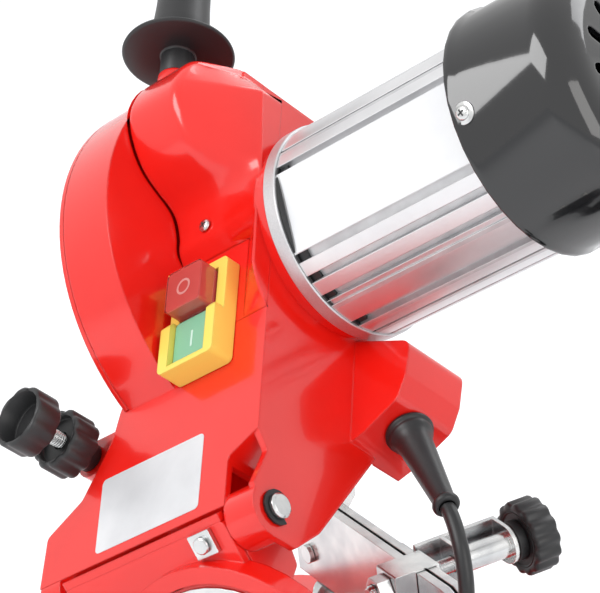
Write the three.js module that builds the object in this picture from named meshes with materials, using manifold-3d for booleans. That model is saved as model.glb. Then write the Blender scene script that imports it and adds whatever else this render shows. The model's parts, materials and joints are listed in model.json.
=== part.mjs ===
import * as THREE from 'three';
import { mergeVertices } from 'three/addons/utils/BufferGeometryUtils.js';
import Module from 'manifold-3d';

// Electric bench sharpener for saw chains: millimetres, +Z up.
// The origin is the centre of the base's underside. The operator and the vise are at +Y,
// the motor points to +X, and the arm's cover side with the switch faces -Y.

const wasm = await Module();
wasm.setup();

// Attitudes at rest, degrees
const motorTilt = 32.41;
const armLean = 46.31;
const viseTurn = -30;
const viseTilt = 7;

// Clearance between neighbours, the overrun of cutting tools and the chamfer at the ends of rods
const gap = 0.3;
const overrun = 2;
const rodEdge = 1;

// Driving sizes
const base = { width: 150, depth: 240, height: 34, wall: 4, corner: 20 };
const hinge = { x: 40, y: -75, z: 167, pinRadius: 6, lugRadius: 14 };
const tiltAxis = { back: 57.6, drop: 70.8 };
const swivel = { x: -6.7, y: 71.3, pivotHeight: 46 };
const spindle = { y: 21, z: 159.7 };
const shell = 3.5;
const cordDiameter = 7.2;

const degrees = Math.PI / 180;
const half = (length) => length / 2;

// Materials

const finish = (color, roughness, metalness) => new THREE.MeshStandardMaterial(
  { color, roughness, metalness },
);
const redPaint = () => finish(0xd5120c, 0.22, 0.1);
const blackGloss = () => finish(0x0b0b0c, 0.12, 0);
const blackPlastic = () => finish(0x17181a, 0.5, 0);
const rubber = () => finish(0x141414, 0.7, 0);
const zinc = () => finish(0xc9cccf, 0.3, 0.9);
const steel = () => finish(0x9a9da1, 0.35, 0.95);
const aluminium = () => finish(0xb9bcc0, 0.35, 0.9);
const copper = () => finish(0xa45a2a, 0.4, 0.7);
const yellowPlastic = () => finish(0xf2c21b, 0.45, 0);
const redButton = () => finish(0xd2402e, 0.25, 0);
const greenButton = () => finish(0x3c9a5f, 0.3, 0);
const abrasive = () => finish(0xc67d78, 0.95, 0);

// Boolean work on closed solids

function solid(geometry) {
  if (geometry instanceof wasm.Manifold) return geometry;
  const bare = geometry.clone();
  for (const name of Object.keys(bare.attributes)) if (name !== 'position') bare.deleteAttribute(name);
  const merged = mergeVertices(bare, 1e-4);
  const mesh = new wasm.Mesh({
    numProp: 3,
    vertProperties: new Float32Array(merged.attributes.position.array),
    triVerts: new Uint32Array(merged.index.array),
  });
  return new wasm.Manifold(mesh);
}

const join = (...parts) => parts.map(solid).reduce((a, b) => a.add(b));
const cut = (body, ...tools) => tools.map(solid).reduce((a, b) => a.subtract(b), solid(body));
const common = (a, b) => solid(a).intersect(solid(b));

function geometryOf(part) {
  if (part instanceof THREE.BufferGeometry) return part;
  const mesh = part.getMesh();
  const geometry = new THREE.BufferGeometry();
  geometry.setAttribute('position', new THREE.BufferAttribute(mesh.vertProperties, 3));
  geometry.setIndex(new THREE.BufferAttribute(mesh.triVerts, 1));
  return geometry;
}

function piece(name, part, material, parent) {
  const source = geometryOf(part);
  const flat = source.index ? source.toNonIndexed() : source;
  flat.computeVertexNormals();
  const mesh = new THREE.Mesh(flat, material);
  mesh.name = name;
  parent.add(mesh);
  return mesh;
}

// Profiles raised along Z, Y or X: drawn in (x, y), (x, z) or (y, z)

function alongZ(shape, z0, z1, segments = 5) {
  const raised = new THREE.ExtrudeGeometry(
    shape,
    { depth: z1 - z0, bevelEnabled: false, curveSegments: segments },
  );
  return raised.translate(0, 0, z0);
}

function alongY(shape, y0, y1, segments = 5) {
  return alongZ(shape, 0, y1 - y0, segments).rotateX(Math.PI / 2).translate(0, y1, 0);
}

const yzPlane = new THREE.Matrix4().set(0, 0, 1, 0, 1, 0, 0, 0, 0, 1, 0, 0, 0, 0, 0, 1);
const zxPlane = new THREE.Matrix4().set(0, 1, 0, 0, 0, 0, 1, 0, 1, 0, 0, 0, 0, 0, 0, 1);

function alongX(shape, x0, x1, segments = 5) {
  return alongZ(shape, 0, x1 - x0, segments).applyMatrix4(yzPlane).translate(x0, 0, 0);
}

// Round profiles of [radius, height] pairs turned about an axis

function turned(profile, sides = 32) {
  return new THREE.LatheGeometry(
    profile.map(([r, h]) => new THREE.Vector2(r, h)),
    sides,
  ).rotateX(Math.PI / 2);
}

const turnedZ = (profile, x, y, sides) => turned(profile, sides).translate(x, y, 0);
const turnedX = (profile, y, z, sides) => turned(profile, sides).applyMatrix4(yzPlane).translate(0, y, z);
const turnedY = (profile, x, z, sides) => turned(profile, sides).applyMatrix4(zxPlane).translate(x, 0, z);

const rod = (radius, h0, h1) => [[0, h0], [radius, h0], [radius, h1], [0, h1]];
const tube = (inner, outer, h0, h1) => [[inner, h0], [outer, h0], [outer, h1], [inner, h1], [inner, h0]];

function chamferedRod(radius, h0, h1, chamfer) {
  return [
    [0, h0], [radius - chamfer, h0], [radius, h0 + chamfer], [radius, h1 - chamfer], [radius - chamfer, h1],
    [0, h1],
  ];
}

// Flat outlines

function polygon(points) {
  return new THREE.Shape(points.map(([a, b]) => new THREE.Vector2(a, b)));
}

function rectangle(a0, a1, b0, b1) {
  return polygon([[a0, b0], [a1, b0], [a1, b1], [a0, b1]]);
}

function roundedRectangle(a0, a1, b0, b1, r) {
  const shape = new THREE.Shape();
  shape.absarc(a1 - r, b0 + r, r, -Math.PI / 2, 0);
  shape.absarc(a1 - r, b1 - r, r, 0, Math.PI / 2);
  shape.absarc(a0 + r, b1 - r, r, Math.PI / 2, Math.PI);
  shape.absarc(a0 + r, b0 + r, r, Math.PI, 1.5 * Math.PI);
  return shape;
}

function roundedPolygon(corners) {
  const shape = new THREE.Shape();
  const at = (i) => new THREE.Vector2(...corners[(i + corners.length) % corners.length]);
  corners.forEach(([, , radius = 0], i) => {
    const here = at(i);
    const before = at(i - 1).sub(here);
    const after = at(i + 1).sub(here);
    const turn = Math.abs(before.angleTo(after));
    const set = Math.min(radius / Math.tan(turn / 2), before.length() / 2, after.length() / 2);
    const from = here.clone().add(before.setLength(set));
    const to = here.clone().add(after.setLength(set));
    if (i === 0) shape.moveTo(from.x, from.y);
    else shape.lineTo(from.x, from.y);
    if (set > 0) shape.quadraticCurveTo(here.x, here.y, to.x, to.y);
  });
  shape.closePath();
  return shape;
}

function disc(a, b, radius) {
  const shape = new THREE.Shape();
  shape.absarc(a, b, radius, 0, 2 * Math.PI);
  return shape;
}

function slot(a, b, length, width, angle = 0) {
  const r = half(width);
  const run = half(length - width);
  const shape = new THREE.Shape();
  const [dx, dy] = [run * Math.cos(angle), run * Math.sin(angle)];
  shape.absarc(a + dx, b + dy, r, angle - Math.PI / 2, angle + Math.PI / 2);
  shape.absarc(a - dx, b - dy, r, angle + Math.PI / 2, angle + 1.5 * Math.PI);
  return shape;
}

function sector(a, b, inner, outer, from, to) {
  const shape = new THREE.Shape();
  shape.absarc(a, b, outer, from * degrees, to * degrees, false);
  shape.absarc(a, b, inner, to * degrees, from * degrees, true);
  return shape;
}

function lobedOutline(radius, depth, lobes) {
  const points = [];
  const steps = 4 * lobes;
  for (let i = 0; i < steps; i += 1) {
    const angle = (2 * Math.PI * i) / steps;
    const r = radius - depth * (0.5 - 0.5 * Math.cos(lobes * angle));
    points.push([r * Math.cos(angle), r * Math.sin(angle)]);
  }
  return polygon(points);
}

function hexagon(acrossFlats) {
  const r = half(acrossFlats) / Math.cos(Math.PI / 6);
  return polygon(
    [0, 1, 2, 3, 4, 5].map((i) => [r * Math.cos((i * Math.PI) / 3), r * Math.sin((i * Math.PI) / 3)]),
  );
}

const shifted = (shape, a, b) => new THREE.Shape(
  shape.getPoints(8).map((p) => new THREE.Vector2(p.x + a, p.y + b)),
);

// Frames: the tilting bracket, the leaning arm and the turning vise

const part = new THREE.Group();

const tiltFrame = new THREE.Group();
tiltFrame.position.set(hinge.x, hinge.y, hinge.z);
tiltFrame.rotation.y = -motorTilt * degrees;
part.add(tiltFrame);

const armFrame = new THREE.Group();
armFrame.rotation.x = -armLean * degrees;
tiltFrame.add(armFrame);

const turnFrame = new THREE.Group();
turnFrame.position.set(swivel.x, swivel.y, 0);
turnFrame.rotation.z = viseTurn * degrees;
part.add(turnFrame);

const viseFrame = new THREE.Group();
viseFrame.position.z = swivel.pivotHeight;
viseFrame.rotation.x = viseTilt * degrees;
turnFrame.add(viseFrame);

// Head casting: the arm, the spindle lobe, the wheel guard, the motor seat and the terminal lobe.
// The arm's frame has x along the hinge pin, y away from the cover side and z along the arm.

const arm = {
  front: -14, right: -4, left: -141.9, foot: 1.5, back: 62, webFoot: 56, webTop: 60,
  chamberTop: 132, wallTop: 150, notchTop: 35, notchEdge: 26.5, notch: 18,
};
const armLeft = {
  cheekX: -140.8, cheekTop: 28.2, bendX: -118.8, bendZ: 40.7, waistX: -98.3, waistZ: 81.3, back: 15,
};
const lug = { radius: 14, rightFrom: -22, rightTo: -4, leftFrom: -141, leftTo: -128 };
const switchCut = { x0: -56, x1: -27.5, z0: 83, z1: 128, corner: 2, roomOver: 18 };
const lobe = {
  front: -60.8, root: -14, foot: switchCut.z1 + switchCut.roomOver, top: 239, right: -4, left: -62,
  cornerRun: 14, cornerDrop: 19.5,
};
const lobeShares = [
  [0, 0], [0.14, 0.08], [0.16, 0.17], [0.23, 0.27], [0.33, 0.32], [0.52, 0.37],
  [0.71, 0.43], [0.86, 0.52], [0.97, 0.64], [1, 0.74], [0.93, 0.87], [0.8, 0.97], [0.7, 1],
];
const lobeBackShares = [
  [-0.9, 1], [-1.5, 0.8], [-1.85, 0.5], [-1.85, 0.1], [-1.62, -0.3], [-1.3, -0.8], [0, -0.8],
];
const wheel = { radius: 72.5, thickness: 3.2, bore: 11.1, x: -77, hub: 18 };
const guardRoom = 29;
const guard = {
  y: 37, z: 171.5, radius: wheel.radius + guardRoom + shell, left: -92, right: -62, from: 241, to: 133,
  top: 249, topEnd: 62, endY: 104, endZ: 190, chordY: 27, chordZ: 80, reach: 60,
};
const terminal = {
  from: 44.5, to: 82, topZ: 113.8, edgeX: 30.9, edgeZ: 97.7, faceX: 29, faceZ: 80, kneeX: 24.5, kneeZ: 68.6,
  footX: 4, footZ: 58.4, corner: 7,
};
const seat = { radius: 52, from: -14, to: -4 };
const boss = { x: -52, y: -41, radius: 9, from: 230, to: 244, bore: 5.2 };
const stopBoss = { x: -121, z: 67, radius: 9.5, from: -9, to: 8, bore: 4.3 };
const bearing = { radius: 17.5, bore: 8.5, width: 12, front: -24 };
const spindleBore = 11;
const earRoom = 7;

function armOutline(inset) {
  return roundedPolygon([
    [arm.right - inset, arm.wallTop - inset], [guard.left + inset, arm.wallTop - inset],
    [guard.left + inset, armLeft.waistZ + 4 * shell],
    [armLeft.waistX + inset, armLeft.waistZ, shell],
    [armLeft.waistX - shell + inset, armLeft.waistZ - 4 * shell, 3 * shell],
    [armLeft.bendX + inset, armLeft.bendZ - inset, 2 * shell],
    [armLeft.cheekX + inset, armLeft.cheekTop - inset, shell],
    [arm.left + inset, arm.foot - inset], [arm.right - arm.notch - inset, arm.foot - inset],
    [arm.right - arm.notch - inset, arm.notchEdge, shell], [arm.right - inset, arm.notchTop],
  ]);
}

function armSide(inset) {
  return roundedPolygon([
    [arm.front + inset, arm.wallTop + shell], [arm.front + inset, arm.foot - inset],
    [0, arm.foot - inset - shell], [lug.radius, -lug.radius], [2 * lug.radius, 0, lug.radius],
    [arm.back, arm.webFoot, shell], [arm.back, arm.wallTop + shell],
  ]);
}

function spindleOutline() {
  const width = lobe.root - lobe.front;
  const height = lobe.top - lobe.foot;
  const place = ([s, t]) => new THREE.Vector3(lobe.root - s * width, lobe.foot + t * height, 0);
  const front = new THREE.CatmullRomCurve3(lobeShares.map(place)).getPoints(2 * lobeShares.length);
  return new THREE.Shape([...front, ...lobeBackShares.map(place)].map((p) => new THREE.Vector2(p.x, p.y)));
}

function guardOutline(inset, open) {
  const shape = new THREE.Shape();
  const end = guard.endY - inset;
  shape.absarc(guard.y, guard.z, guard.radius - inset, guard.from * degrees, guard.to * degrees, true);
  shape.lineTo(guard.topEnd, guard.top - inset);
  shape.quadraticCurveTo(end, guard.top - inset, end, guard.endZ);
  if (open) {
    shape.lineTo(guard.endY + guard.reach, guard.endZ);
    shape.lineTo(guard.endY, guard.chordZ - guard.reach);
    shape.lineTo(guard.chordY, guard.chordZ - half(guard.reach));
  } else {
    shape.lineTo(guard.chordY, guard.chordZ);
  }
  shape.closePath();
  return shape;
}

function terminalOutline() {
  return roundedPolygon([
    [2 * arm.right, terminal.footZ - shell], [terminal.footX, terminal.footZ],
    [terminal.kneeX, terminal.kneeZ, terminal.corner],
    [terminal.faceX, terminal.faceZ, shell], [terminal.edgeX, terminal.edgeZ, terminal.corner],
    [2 * arm.right, terminal.topZ],
  ]);
}

function rightCheek() {
  return roundedPolygon([
    [arm.front, arm.notchTop + shell], [arm.front, arm.notchTop],
    [arm.front + 2 * shell, arm.notchEdge, shell],
    [-lug.radius, 2 * shell], [0, -lug.radius], [lug.radius, -lug.radius, shell],
    [2 * lug.radius, 0, lug.radius],
    [arm.back, arm.webFoot, shell], [arm.back, arm.webTop],
  ]);
}

function headCasting() {
  const block = common(alongY(armOutline(0), arm.front, arm.back), alongX(armSide(0), arm.left, arm.right));
  const leftBack = alongY(
    rectangle(arm.left - overrun, armLeft.waistX + shell, -2 * lug.radius, guard.z),
    armLeft.back,
    arm.back + overrun,
    1,
  );
  const body = join(
    cut(block, leftBack),
    alongX(rightCheek(), arm.right - shell, arm.right),
    turnedX(rod(lug.radius, lug.rightFrom, lug.rightTo), 0, 0, 20),
    turnedX(rod(lug.radius, lug.leftFrom, lug.leftTo), 0, 0, 20),
    alongX(spindleOutline(), lobe.left, lobe.right),
    alongX(guardOutline(0, false), guard.left, guard.right, 13),
    alongY(terminalOutline(), terminal.from, terminal.to),
    turnedX(chamferedRod(seat.radius, seat.from, seat.to, 0.5 * shell), spindle.y, spindle.z, 40),
    turnedZ(rod(boss.radius, boss.from, boss.to), boss.x, boss.y, 20),
    turnedY(rod(stopBoss.radius, stopBoss.from, stopBoss.to), stopBoss.x, stopBoss.z, 20),
    alongY(
      rectangle(stopBoss.x, armLeft.waistX, stopBoss.z - stopBoss.radius, stopBoss.z + stopBoss.radius),
      stopBoss.from,
      0,
      1,
    ),
  );
  const inside = alongY(armOutline(shell), arm.front + shell, arm.back + overrun);
  const pinBay = common(
    inside,
    alongZ(
      rectangle(arm.left, arm.right, arm.front, arm.back + 2 * overrun),
      -2 * lug.radius,
      arm.webFoot,
      1,
    ),
  );
  const chamber = common(
    inside,
    alongZ(
      rectangle(guard.right + shell, arm.right - shell, arm.front, arm.back + 2 * overrun),
      arm.webTop,
      arm.chamberTop,
      1,
    ),
  );
  const lugs = join(
    turnedX(rod(lug.radius, lug.rightFrom, lug.rightTo), 0, 0, 20),
    turnedX(rod(lug.radius, lug.leftFrom, lug.leftTo), 0, 0, 20),
  );
  const corner = polygon([
    [lobe.right - lobe.cornerRun, lobe.top + overrun], [lobe.right - lobe.cornerRun, lobe.top - shell],
    [lobe.right + overrun, lobe.top - lobe.cornerDrop], [lobe.right + overrun, lobe.top + overrun],
  ]);
  return cut(
    body,
    cut(pinBay, lugs),
    alongY(
      rectangle(
        arm.right - arm.notch - earRoom,
        arm.right - arm.notch,
        -2 * lug.radius,
        arm.notchEdge - shell,
      ),
      arm.front + shell,
      arm.back + overrun,
      1,
    ),
    chamber,
    alongX(guardOutline(shell, true), guard.left - overrun, guard.right - shell, 13),
    alongY(corner, 2 * lobe.front, arm.back + guard.radius, 1),
    alongY(
      roundedRectangle(switchCut.x0, switchCut.x1, switchCut.z0, switchCut.z1, switchCut.corner),
      arm.front - overrun,
      arm.front + shell + overrun,
      2,
    ),
    turnedX(rod(hinge.pinRadius + gap, arm.left - overrun, arm.right + overrun), 0, 0, 16),
    turnedX(rod(spindleBore, guard.left - overrun, seat.to + overrun), spindle.y, spindle.z, 16),
    turnedX(rod(bearing.radius + gap, bearing.front, seat.to + overrun), spindle.y, spindle.z, 24),
    turnedZ(rod(boss.bore, boss.from - 4 * overrun, boss.to + overrun), boss.x, boss.y, 12),
    turnedY(rod(stopBoss.bore, stopBoss.from - overrun, stopBoss.to + overrun), stopBoss.x, stopBoss.z, 16),
  );
}

piece('head_casting', headCasting(), redPaint(), armFrame);

// Wheel side: the outer guard cover, the grinding wheel and its clamping flanges

const flange = { radius: 27, thickness: 6, seat: 3 };
const shaft = {
  wheelEnd: -95, wheelRadius: 8, mainRadius: 8.5, fanRadius: 6, fanEnd: 139, shoulder: -62, step: 110,
};
const nut = { acrossFlats: 24, height: 8 };
const cover = { thickness: 2.5, cut: 98 };

function wheelCover() {
  const from = guard.left - gap - cover.thickness;
  const sheet = alongX(guardOutline(0, false), from, guard.left - gap, 16);
  const lower = alongX(
    rectangle(arm.front - gap, 2 * guard.radius, -guard.radius, cover.cut),
    from - overrun,
    guard.left + overrun,
    1,
  );
  const window = alongX(
    disc(spindle.y, spindle.z, flange.radius + shell),
    from - overrun,
    guard.left + overrun,
    10,
  );
  return cut(sheet, lower, window);
}

function grindingWheel() {
  const face = wheel.x - half(wheel.thickness);
  const profile = tube(wheel.bore, wheel.radius, face, face + wheel.thickness);
  return turnedX(profile, spindle.y, spindle.z, 40);
}

function wheelFlange(from, to, hubFrom, hubTo) {
  const disc = turnedX(tube(shaft.wheelRadius + gap, flange.radius, from, to), spindle.y, spindle.z, 16);
  const hub = turnedX(
    tube(shaft.wheelRadius + gap, wheel.bore - gap, hubFrom, hubTo),
    spindle.y,
    spindle.z,
    14,
  );
  return join(disc, hub);
}

const wheelBack = wheel.x + half(wheel.thickness) + gap;
const wheelFront = wheel.x - half(wheel.thickness) - gap;

function wheelNut() {
  const from = wheelFront - flange.thickness - gap - nut.height;
  const blank = alongX(shifted(hexagon(nut.acrossFlats), spindle.y, spindle.z), from, from + nut.height, 1);
  return cut(
    blank,
    turnedX(
      rod(shaft.wheelRadius + gap, from - overrun, from + nut.height + overrun),
      spindle.y,
      spindle.z,
      24,
    ),
  );
}

// Motor: a grooved aluminium housing with a flat panel, its windings, rotor, bearings, fan and end cap

const motor = {
  ringFrom: -3.7, ringTo: 1, ringRadius: 51.3, bodyFrom: 1.3, bodyTo: 117.7, bodyRadius: 48.5, bodyBore: 38,
  panel: 33.5, panelCentre: 199.7, groove: 3.6, grooveDepth: 4,
};
const grooveAngles = [36, 50, 64, 92, 106, 134, 148, 180];
const cap = {
  from: 118, to: 180, radius: 55.5, edge: 17, wall: 2.6, lip: 57, lipLength: 2.5, ventInner: 14,
  ventOuter: 36,
  ventWidth: 5.5, vents: 12, screwX: 124.5, screwAngle: 203, screws: 3, sideVentX: 150, sideVentLength: 16,
};
const shield = { from: 111.5, to: 117.6, radius: 37.7, hub: 15, hubTo: 124 };
const rear = { radius: 11, width: 9, from: 112.5 };
const stator = { inner: 24, outer: 37.7, from: 30, to: 78, coil: 8, coilInner: 26, coilOuter: 35 };
const rotor = { radius: 23, from: 31, to: 77 };
const fan = { from: 127, hub: 12, radius: 42, plate: 2, blade: 9, blades: 7, bladeThickness: 1.6 };

const aroundMotor = (shape) => shifted(shape, spindle.y, spindle.z);

function motorBody() {
  const blank = turnedX(
    tube(motor.bodyBore, motor.bodyRadius, motor.bodyFrom, motor.bodyTo),
    spindle.y,
    spindle.z,
    48,
  );
  const a = motor.panel * degrees;
  const c = motor.panelCentre * degrees;
  const chord = motor.bodyRadius * Math.cos(a);
  const reach = motor.bodyRadius * Math.sin(a);
  const panel = rectangle(chord, motor.bodyRadius + overrun, -reach, reach);
  const turnedShape = (shape, angle) => {
    const turn = new THREE.Vector2();
    return new THREE.Shape(
      shape.getPoints(1).map((p) => turn.copy(p).rotateAround(new THREE.Vector2(), angle).clone()),
    );
  };
  const place = (shape, angle) => alongX(
    aroundMotor(turnedShape(shape, angle)),
    motor.bodyFrom - overrun,
    motor.bodyTo + overrun,
    1,
  );
  const trench = rectangle(
    motor.bodyRadius - motor.grooveDepth,
    motor.bodyRadius + overrun,
    -half(motor.groove),
    half(motor.groove),
  );
  const both = grooveAngles.flatMap((angle) => (angle === 180 ? [angle] : [angle, -angle]));
  return cut(blank, place(panel, c), ...both.map((angle) => place(trench, c + angle * degrees)));
}

function motorEndCap() {
  const edge = [];
  const steps = 5;
  for (let i = 0; i <= steps; i += 1) {
    const a = (i / steps) * 90 * degrees;
    edge.push([cap.radius - cap.edge + cap.edge * Math.cos(a), cap.to - cap.edge + cap.edge * Math.sin(a)]);
  }
  const inner = edge.map(([r, h]) => [r - cap.wall, h - cap.wall]).reverse();
  const seat = motor.bodyRadius - cap.wall;
  const outside = [
    [seat, cap.from], [cap.lip, cap.from], [cap.lip, cap.from + cap.lipLength],
    [cap.radius, cap.from + 2 * cap.lipLength],
  ];
  const profile = [
    ...outside, ...edge, [0, cap.to], [0, cap.to - cap.wall], ...inner,
    [cap.radius - cap.wall, cap.from + cap.wall], [seat, cap.from + cap.wall], [seat, cap.from],
  ];
  const shellBody = turnedX(profile, spindle.y, spindle.z, 36);
  const vents = [];
  for (let i = 0; i < cap.vents; i += 1) {
    const angle = (2 * Math.PI * i) / cap.vents;
    const mid = half(cap.ventInner + cap.ventOuter);
    const opening = slot(
      spindle.y + mid * Math.cos(angle),
      spindle.z + mid * Math.sin(angle),
      cap.ventOuter - cap.ventInner,
      cap.ventWidth,
      angle,
    );
    vents.push(alongX(opening, cap.to - cap.wall - overrun, cap.to + overrun, 2));
  }
  return cut(shellBody, ...vents);
}

function bladeFan() {
  const hub = turnedX(
    tube(shaft.fanRadius + gap, fan.hub, fan.from, fan.from + fan.blade),
    spindle.y,
    spindle.z,
    14,
  );
  const plate = turnedX(
    tube(shaft.fanRadius + gap, fan.radius, fan.from, fan.from + fan.plate),
    spindle.y,
    spindle.z,
    20,
  );
  const blades = [];
  for (let i = 0; i < fan.blades; i += 1) {
    const blade = new THREE.BoxGeometry(fan.blade, fan.radius - fan.hub + overrun, fan.bladeThickness);
    blade.translate(fan.from + half(fan.blade), half(fan.radius + fan.hub - overrun), 0);
    blades.push(blade.rotateX((2 * Math.PI * i) / fan.blades).translate(0, spindle.y, spindle.z));
  }
  return join(hub, plate, ...blades);
}

function rotorShaft() {
  const profile = [
    [0, shaft.wheelEnd], [shaft.wheelRadius, shaft.wheelEnd], [shaft.wheelRadius, shaft.shoulder],
    [shaft.mainRadius - gap, shaft.shoulder], [shaft.mainRadius - gap, rotor.from],
    [rotor.radius, rotor.from],
    [rotor.radius, rotor.to], [shaft.mainRadius - gap, rotor.to], [shaft.mainRadius - gap, shaft.step],
    [shaft.fanRadius, shaft.step], [shaft.fanRadius, shaft.fanEnd], [0, shaft.fanEnd],
  ];
  return turnedX(profile, spindle.y, spindle.z, 12);
}

function statorPack() {
  const core = tube(stator.inner, stator.outer, stator.from, stator.to);
  const winding = tube(
    stator.coilInner,
    stator.coilOuter,
    stator.from - stator.coil,
    stator.to + stator.coil,
  );
  return join(turnedX(core, spindle.y, spindle.z, 14), turnedX(winding, spindle.y, spindle.z, 14));
}

function endShield() {
  const pocket = rear.radius + gap;
  const profile = [
    [shaft.mainRadius + gap, shield.from - overrun], [shield.hub, shield.from - overrun],
    [shield.hub, shield.from],
    [shield.radius, shield.from], [shield.radius, shield.to], [shield.hub, shield.to],
    [shield.hub, shield.hubTo],
    [pocket, shield.hubTo], [pocket, rear.from - gap], [shaft.mainRadius + gap, rear.from - gap],
    [shaft.mainRadius + gap, shield.from - overrun],
  ];
  return turnedX(profile, spindle.y, spindle.z, 14);
}

// Switch: a yellow frame with a red stop key and a green start key over a body behind the wall

const frame = {
  x0: -59.4, x1: -23.9, z0: 78, z1: 134.3, low: 8, high: 13.5, step: 106, wall: 2.6, corner: 3,
};
const stopKey = { x0: -52.6, x1: -31, z0: 107.8, z1: 129.2, front: 17.5, corner: 2, travel: 3 };
const startKey = { x0: -53, x1: -30, z0: 81.2, z1: 105.6, front: 10, corner: 2, travel: 3 };
const switchBox = { depth: 24, inset: 1.2 };

function switchFrame() {
  const foot = arm.front - gap;
  const outer = roundedRectangle(frame.x0, frame.x1, frame.z0, frame.z1, frame.corner);
  const tall = roundedRectangle(frame.x0, frame.x1, frame.z0, frame.step, frame.corner);
  const opening = rectangle(startKey.x0 - gap, startKey.x1 + gap, startKey.z0 - gap, stopKey.z1 + gap);
  const slope = polygon([
    [foot - frame.high - overrun, frame.step - frame.wall], [foot - frame.high, frame.step - frame.wall],
    [foot - frame.low, frame.step + 2 * frame.wall],
    [foot - frame.high - overrun, frame.step + 2 * frame.wall],
  ]);
  const body = join(alongY(outer, foot - frame.low, foot, 3), alongY(tall, foot - frame.high, foot, 3));
  return cut(
    body,
    alongY(opening, foot - frame.high - overrun, foot + overrun, 1),
    alongX(slope, frame.x0 - overrun, frame.x1 + overrun, 1),
  );
}

function key(size) {
  const face = arm.front - gap - size.front;
  const back = arm.front - gap - size.travel;
  return alongY(roundedRectangle(size.x0, size.x1, size.z0, size.z1, size.corner), face, back, 3);
}

function switchBody() {
  const s = switchBox.inset;
  const box = rectangle(switchCut.x0 + s, switchCut.x1 - s, switchCut.z0 + s, switchCut.z1 - s);
  return alongY(box, arm.front + stopKey.travel + 2 * gap, arm.front + switchBox.depth, 1);
}

// Handle: a grip with a hand guard, moulded in one piece round a threaded stud

const handle = {
  stub: 8.4, disc: 28, discAt: 16, discThickness: 2.5, neck: 12.5, grip: 14.6, length: 112, waist: 13.2,
  crown: 15.6, bore: 5.3,
  edge: 1, flareAt: 4, gripAt: 10, waistAt: 38, crownFrom: 24, crownTo: 10, tip: 2, studRoom: 1,
};
const handleStud = { radius: 5, below: 8, above: 60 };

function handleGrip() {
  const foot = boss.to + gap;
  const at = (height) => foot + height;
  const profile = [
    [handle.bore, foot], [handle.stub, foot], [handle.stub, at(handle.discAt - handle.discThickness)],
    [handle.disc - handle.edge, at(handle.discAt - handle.discThickness)],
    [handle.disc, at(handle.discAt - half(handle.discThickness))],
    [handle.disc - handle.edge, at(handle.discAt)], [handle.neck, at(handle.discAt)],
    [handle.neck + handle.edge, at(handle.discAt + handle.flareAt)],
    [handle.grip, at(handle.discAt + handle.gripAt)],
    [handle.waist, at(handle.discAt + handle.waistAt)],
    [handle.crown, at(handle.length - handle.crownFrom)],
    [handle.crown, at(handle.length - handle.crownTo)],
    [handle.neck, at(handle.length - handle.tip)],
    [handle.stub, at(handle.length)],
    [0, at(handle.length)], [0, at(handleStud.above + handle.studRoom)],
    [handle.bore, at(handleStud.above + handle.studRoom)],
    [handle.bore, foot],
  ];
  return turnedZ(profile, boss.x, boss.y, 14);
}

// Depth stop: a threaded stud with a cup knob at its end and a lobed lock knob near the arm

const stud = { radius: 4, from: -55, to: 46 };
const cupKnob = { radius: 12.5, from: -56.5, to: -43.4, cup: 9, cupDepth: 8, lobes: 8, lobeDepth: 1.2 };
const lockKnob = {
  radius: 13, from: -32, to: -17.9, face: 9, faceDepth: 2, lobes: 6, lobeDepth: 2, hub: 7, hubTo: -9.3,
};

function lobedKnob(size, x, z) {
  const outline = shifted(lobedOutline(size.radius, size.lobeDepth, size.lobes), x, z);
  return alongY(outline, size.from, size.to, 1);
}

function depthKnob() {
  const cup = turnedY(
    rod(cupKnob.cup, cupKnob.from - overrun, cupKnob.from + cupKnob.cupDepth),
    stopBoss.x,
    stopBoss.z,
    16,
  );
  const bore = turnedY(
    rod(stud.radius + gap, cupKnob.from - overrun, cupKnob.to + overrun),
    stopBoss.x,
    stopBoss.z,
    16,
  );
  return cut(lobedKnob(cupKnob, stopBoss.x, stopBoss.z), cup, bore);
}

function stopLockKnob() {
  const recess = turnedY(
    rod(lockKnob.face, lockKnob.from - overrun, lockKnob.from + lockKnob.faceDepth),
    stopBoss.x,
    stopBoss.z,
    14,
  );
  const hub = turnedY(rod(lockKnob.hub, lockKnob.to, lockKnob.hubTo), stopBoss.x, stopBoss.z, 14);
  const bore = turnedY(
    rod(stud.radius + gap, lockKnob.from - overrun, lockKnob.hubTo + overrun),
    stopBoss.x,
    stopBoss.z,
    16,
  );
  return cut(join(lobedKnob(lockKnob, stopBoss.x, stopBoss.z), hub), recess, bore);
}

// Wiring side: the back cover, the run capacitor and the cord's strain relief

const backCover = { thickness: 2, from: 60.5, to: 110 };
const capacitor = { radius: 16, from: -56, to: -12, y: 26, z: 84, edge: 1.5 };
const relief = {
  x: 15, y: 63, z: 63.6, flange: 11.5, flangeHeight: 4, neck: 8.5, tip: 5, ring: 6.3, length: 55,
  angle: 153.5,
  edge: 1, round: 1.5, shoulder: 2, ringFoot: 4, ringFrom: 3,
};

function armBackCover() {
  const outline = roundedRectangle(
    guard.right + shell + gap,
    arm.right - shell - gap,
    backCover.from,
    backCover.to,
    shell,
  );
  return alongY(outline, arm.back - backCover.thickness, arm.back, 3);
}

function strainRelief() {
  const bore = half(cordDiameter) + gap;
  const profile = [
    [bore, 0], [relief.flange - relief.edge, 0], [relief.flange, relief.edge],
    [relief.flange, relief.flangeHeight - relief.round],
    [relief.flange - relief.shoulder, relief.flangeHeight],
    [relief.neck, relief.flangeHeight + relief.round],
    [relief.tip, relief.length - relief.ringFoot],
    [relief.ring, relief.length - relief.ringFrom], [relief.ring, relief.length - relief.edge],
    [relief.tip, relief.length],
    [bore, relief.length], [bore, 0],
  ];
  return turned(profile, 12).rotateY(relief.angle * degrees).translate(relief.x, relief.y, relief.z);
}

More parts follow.
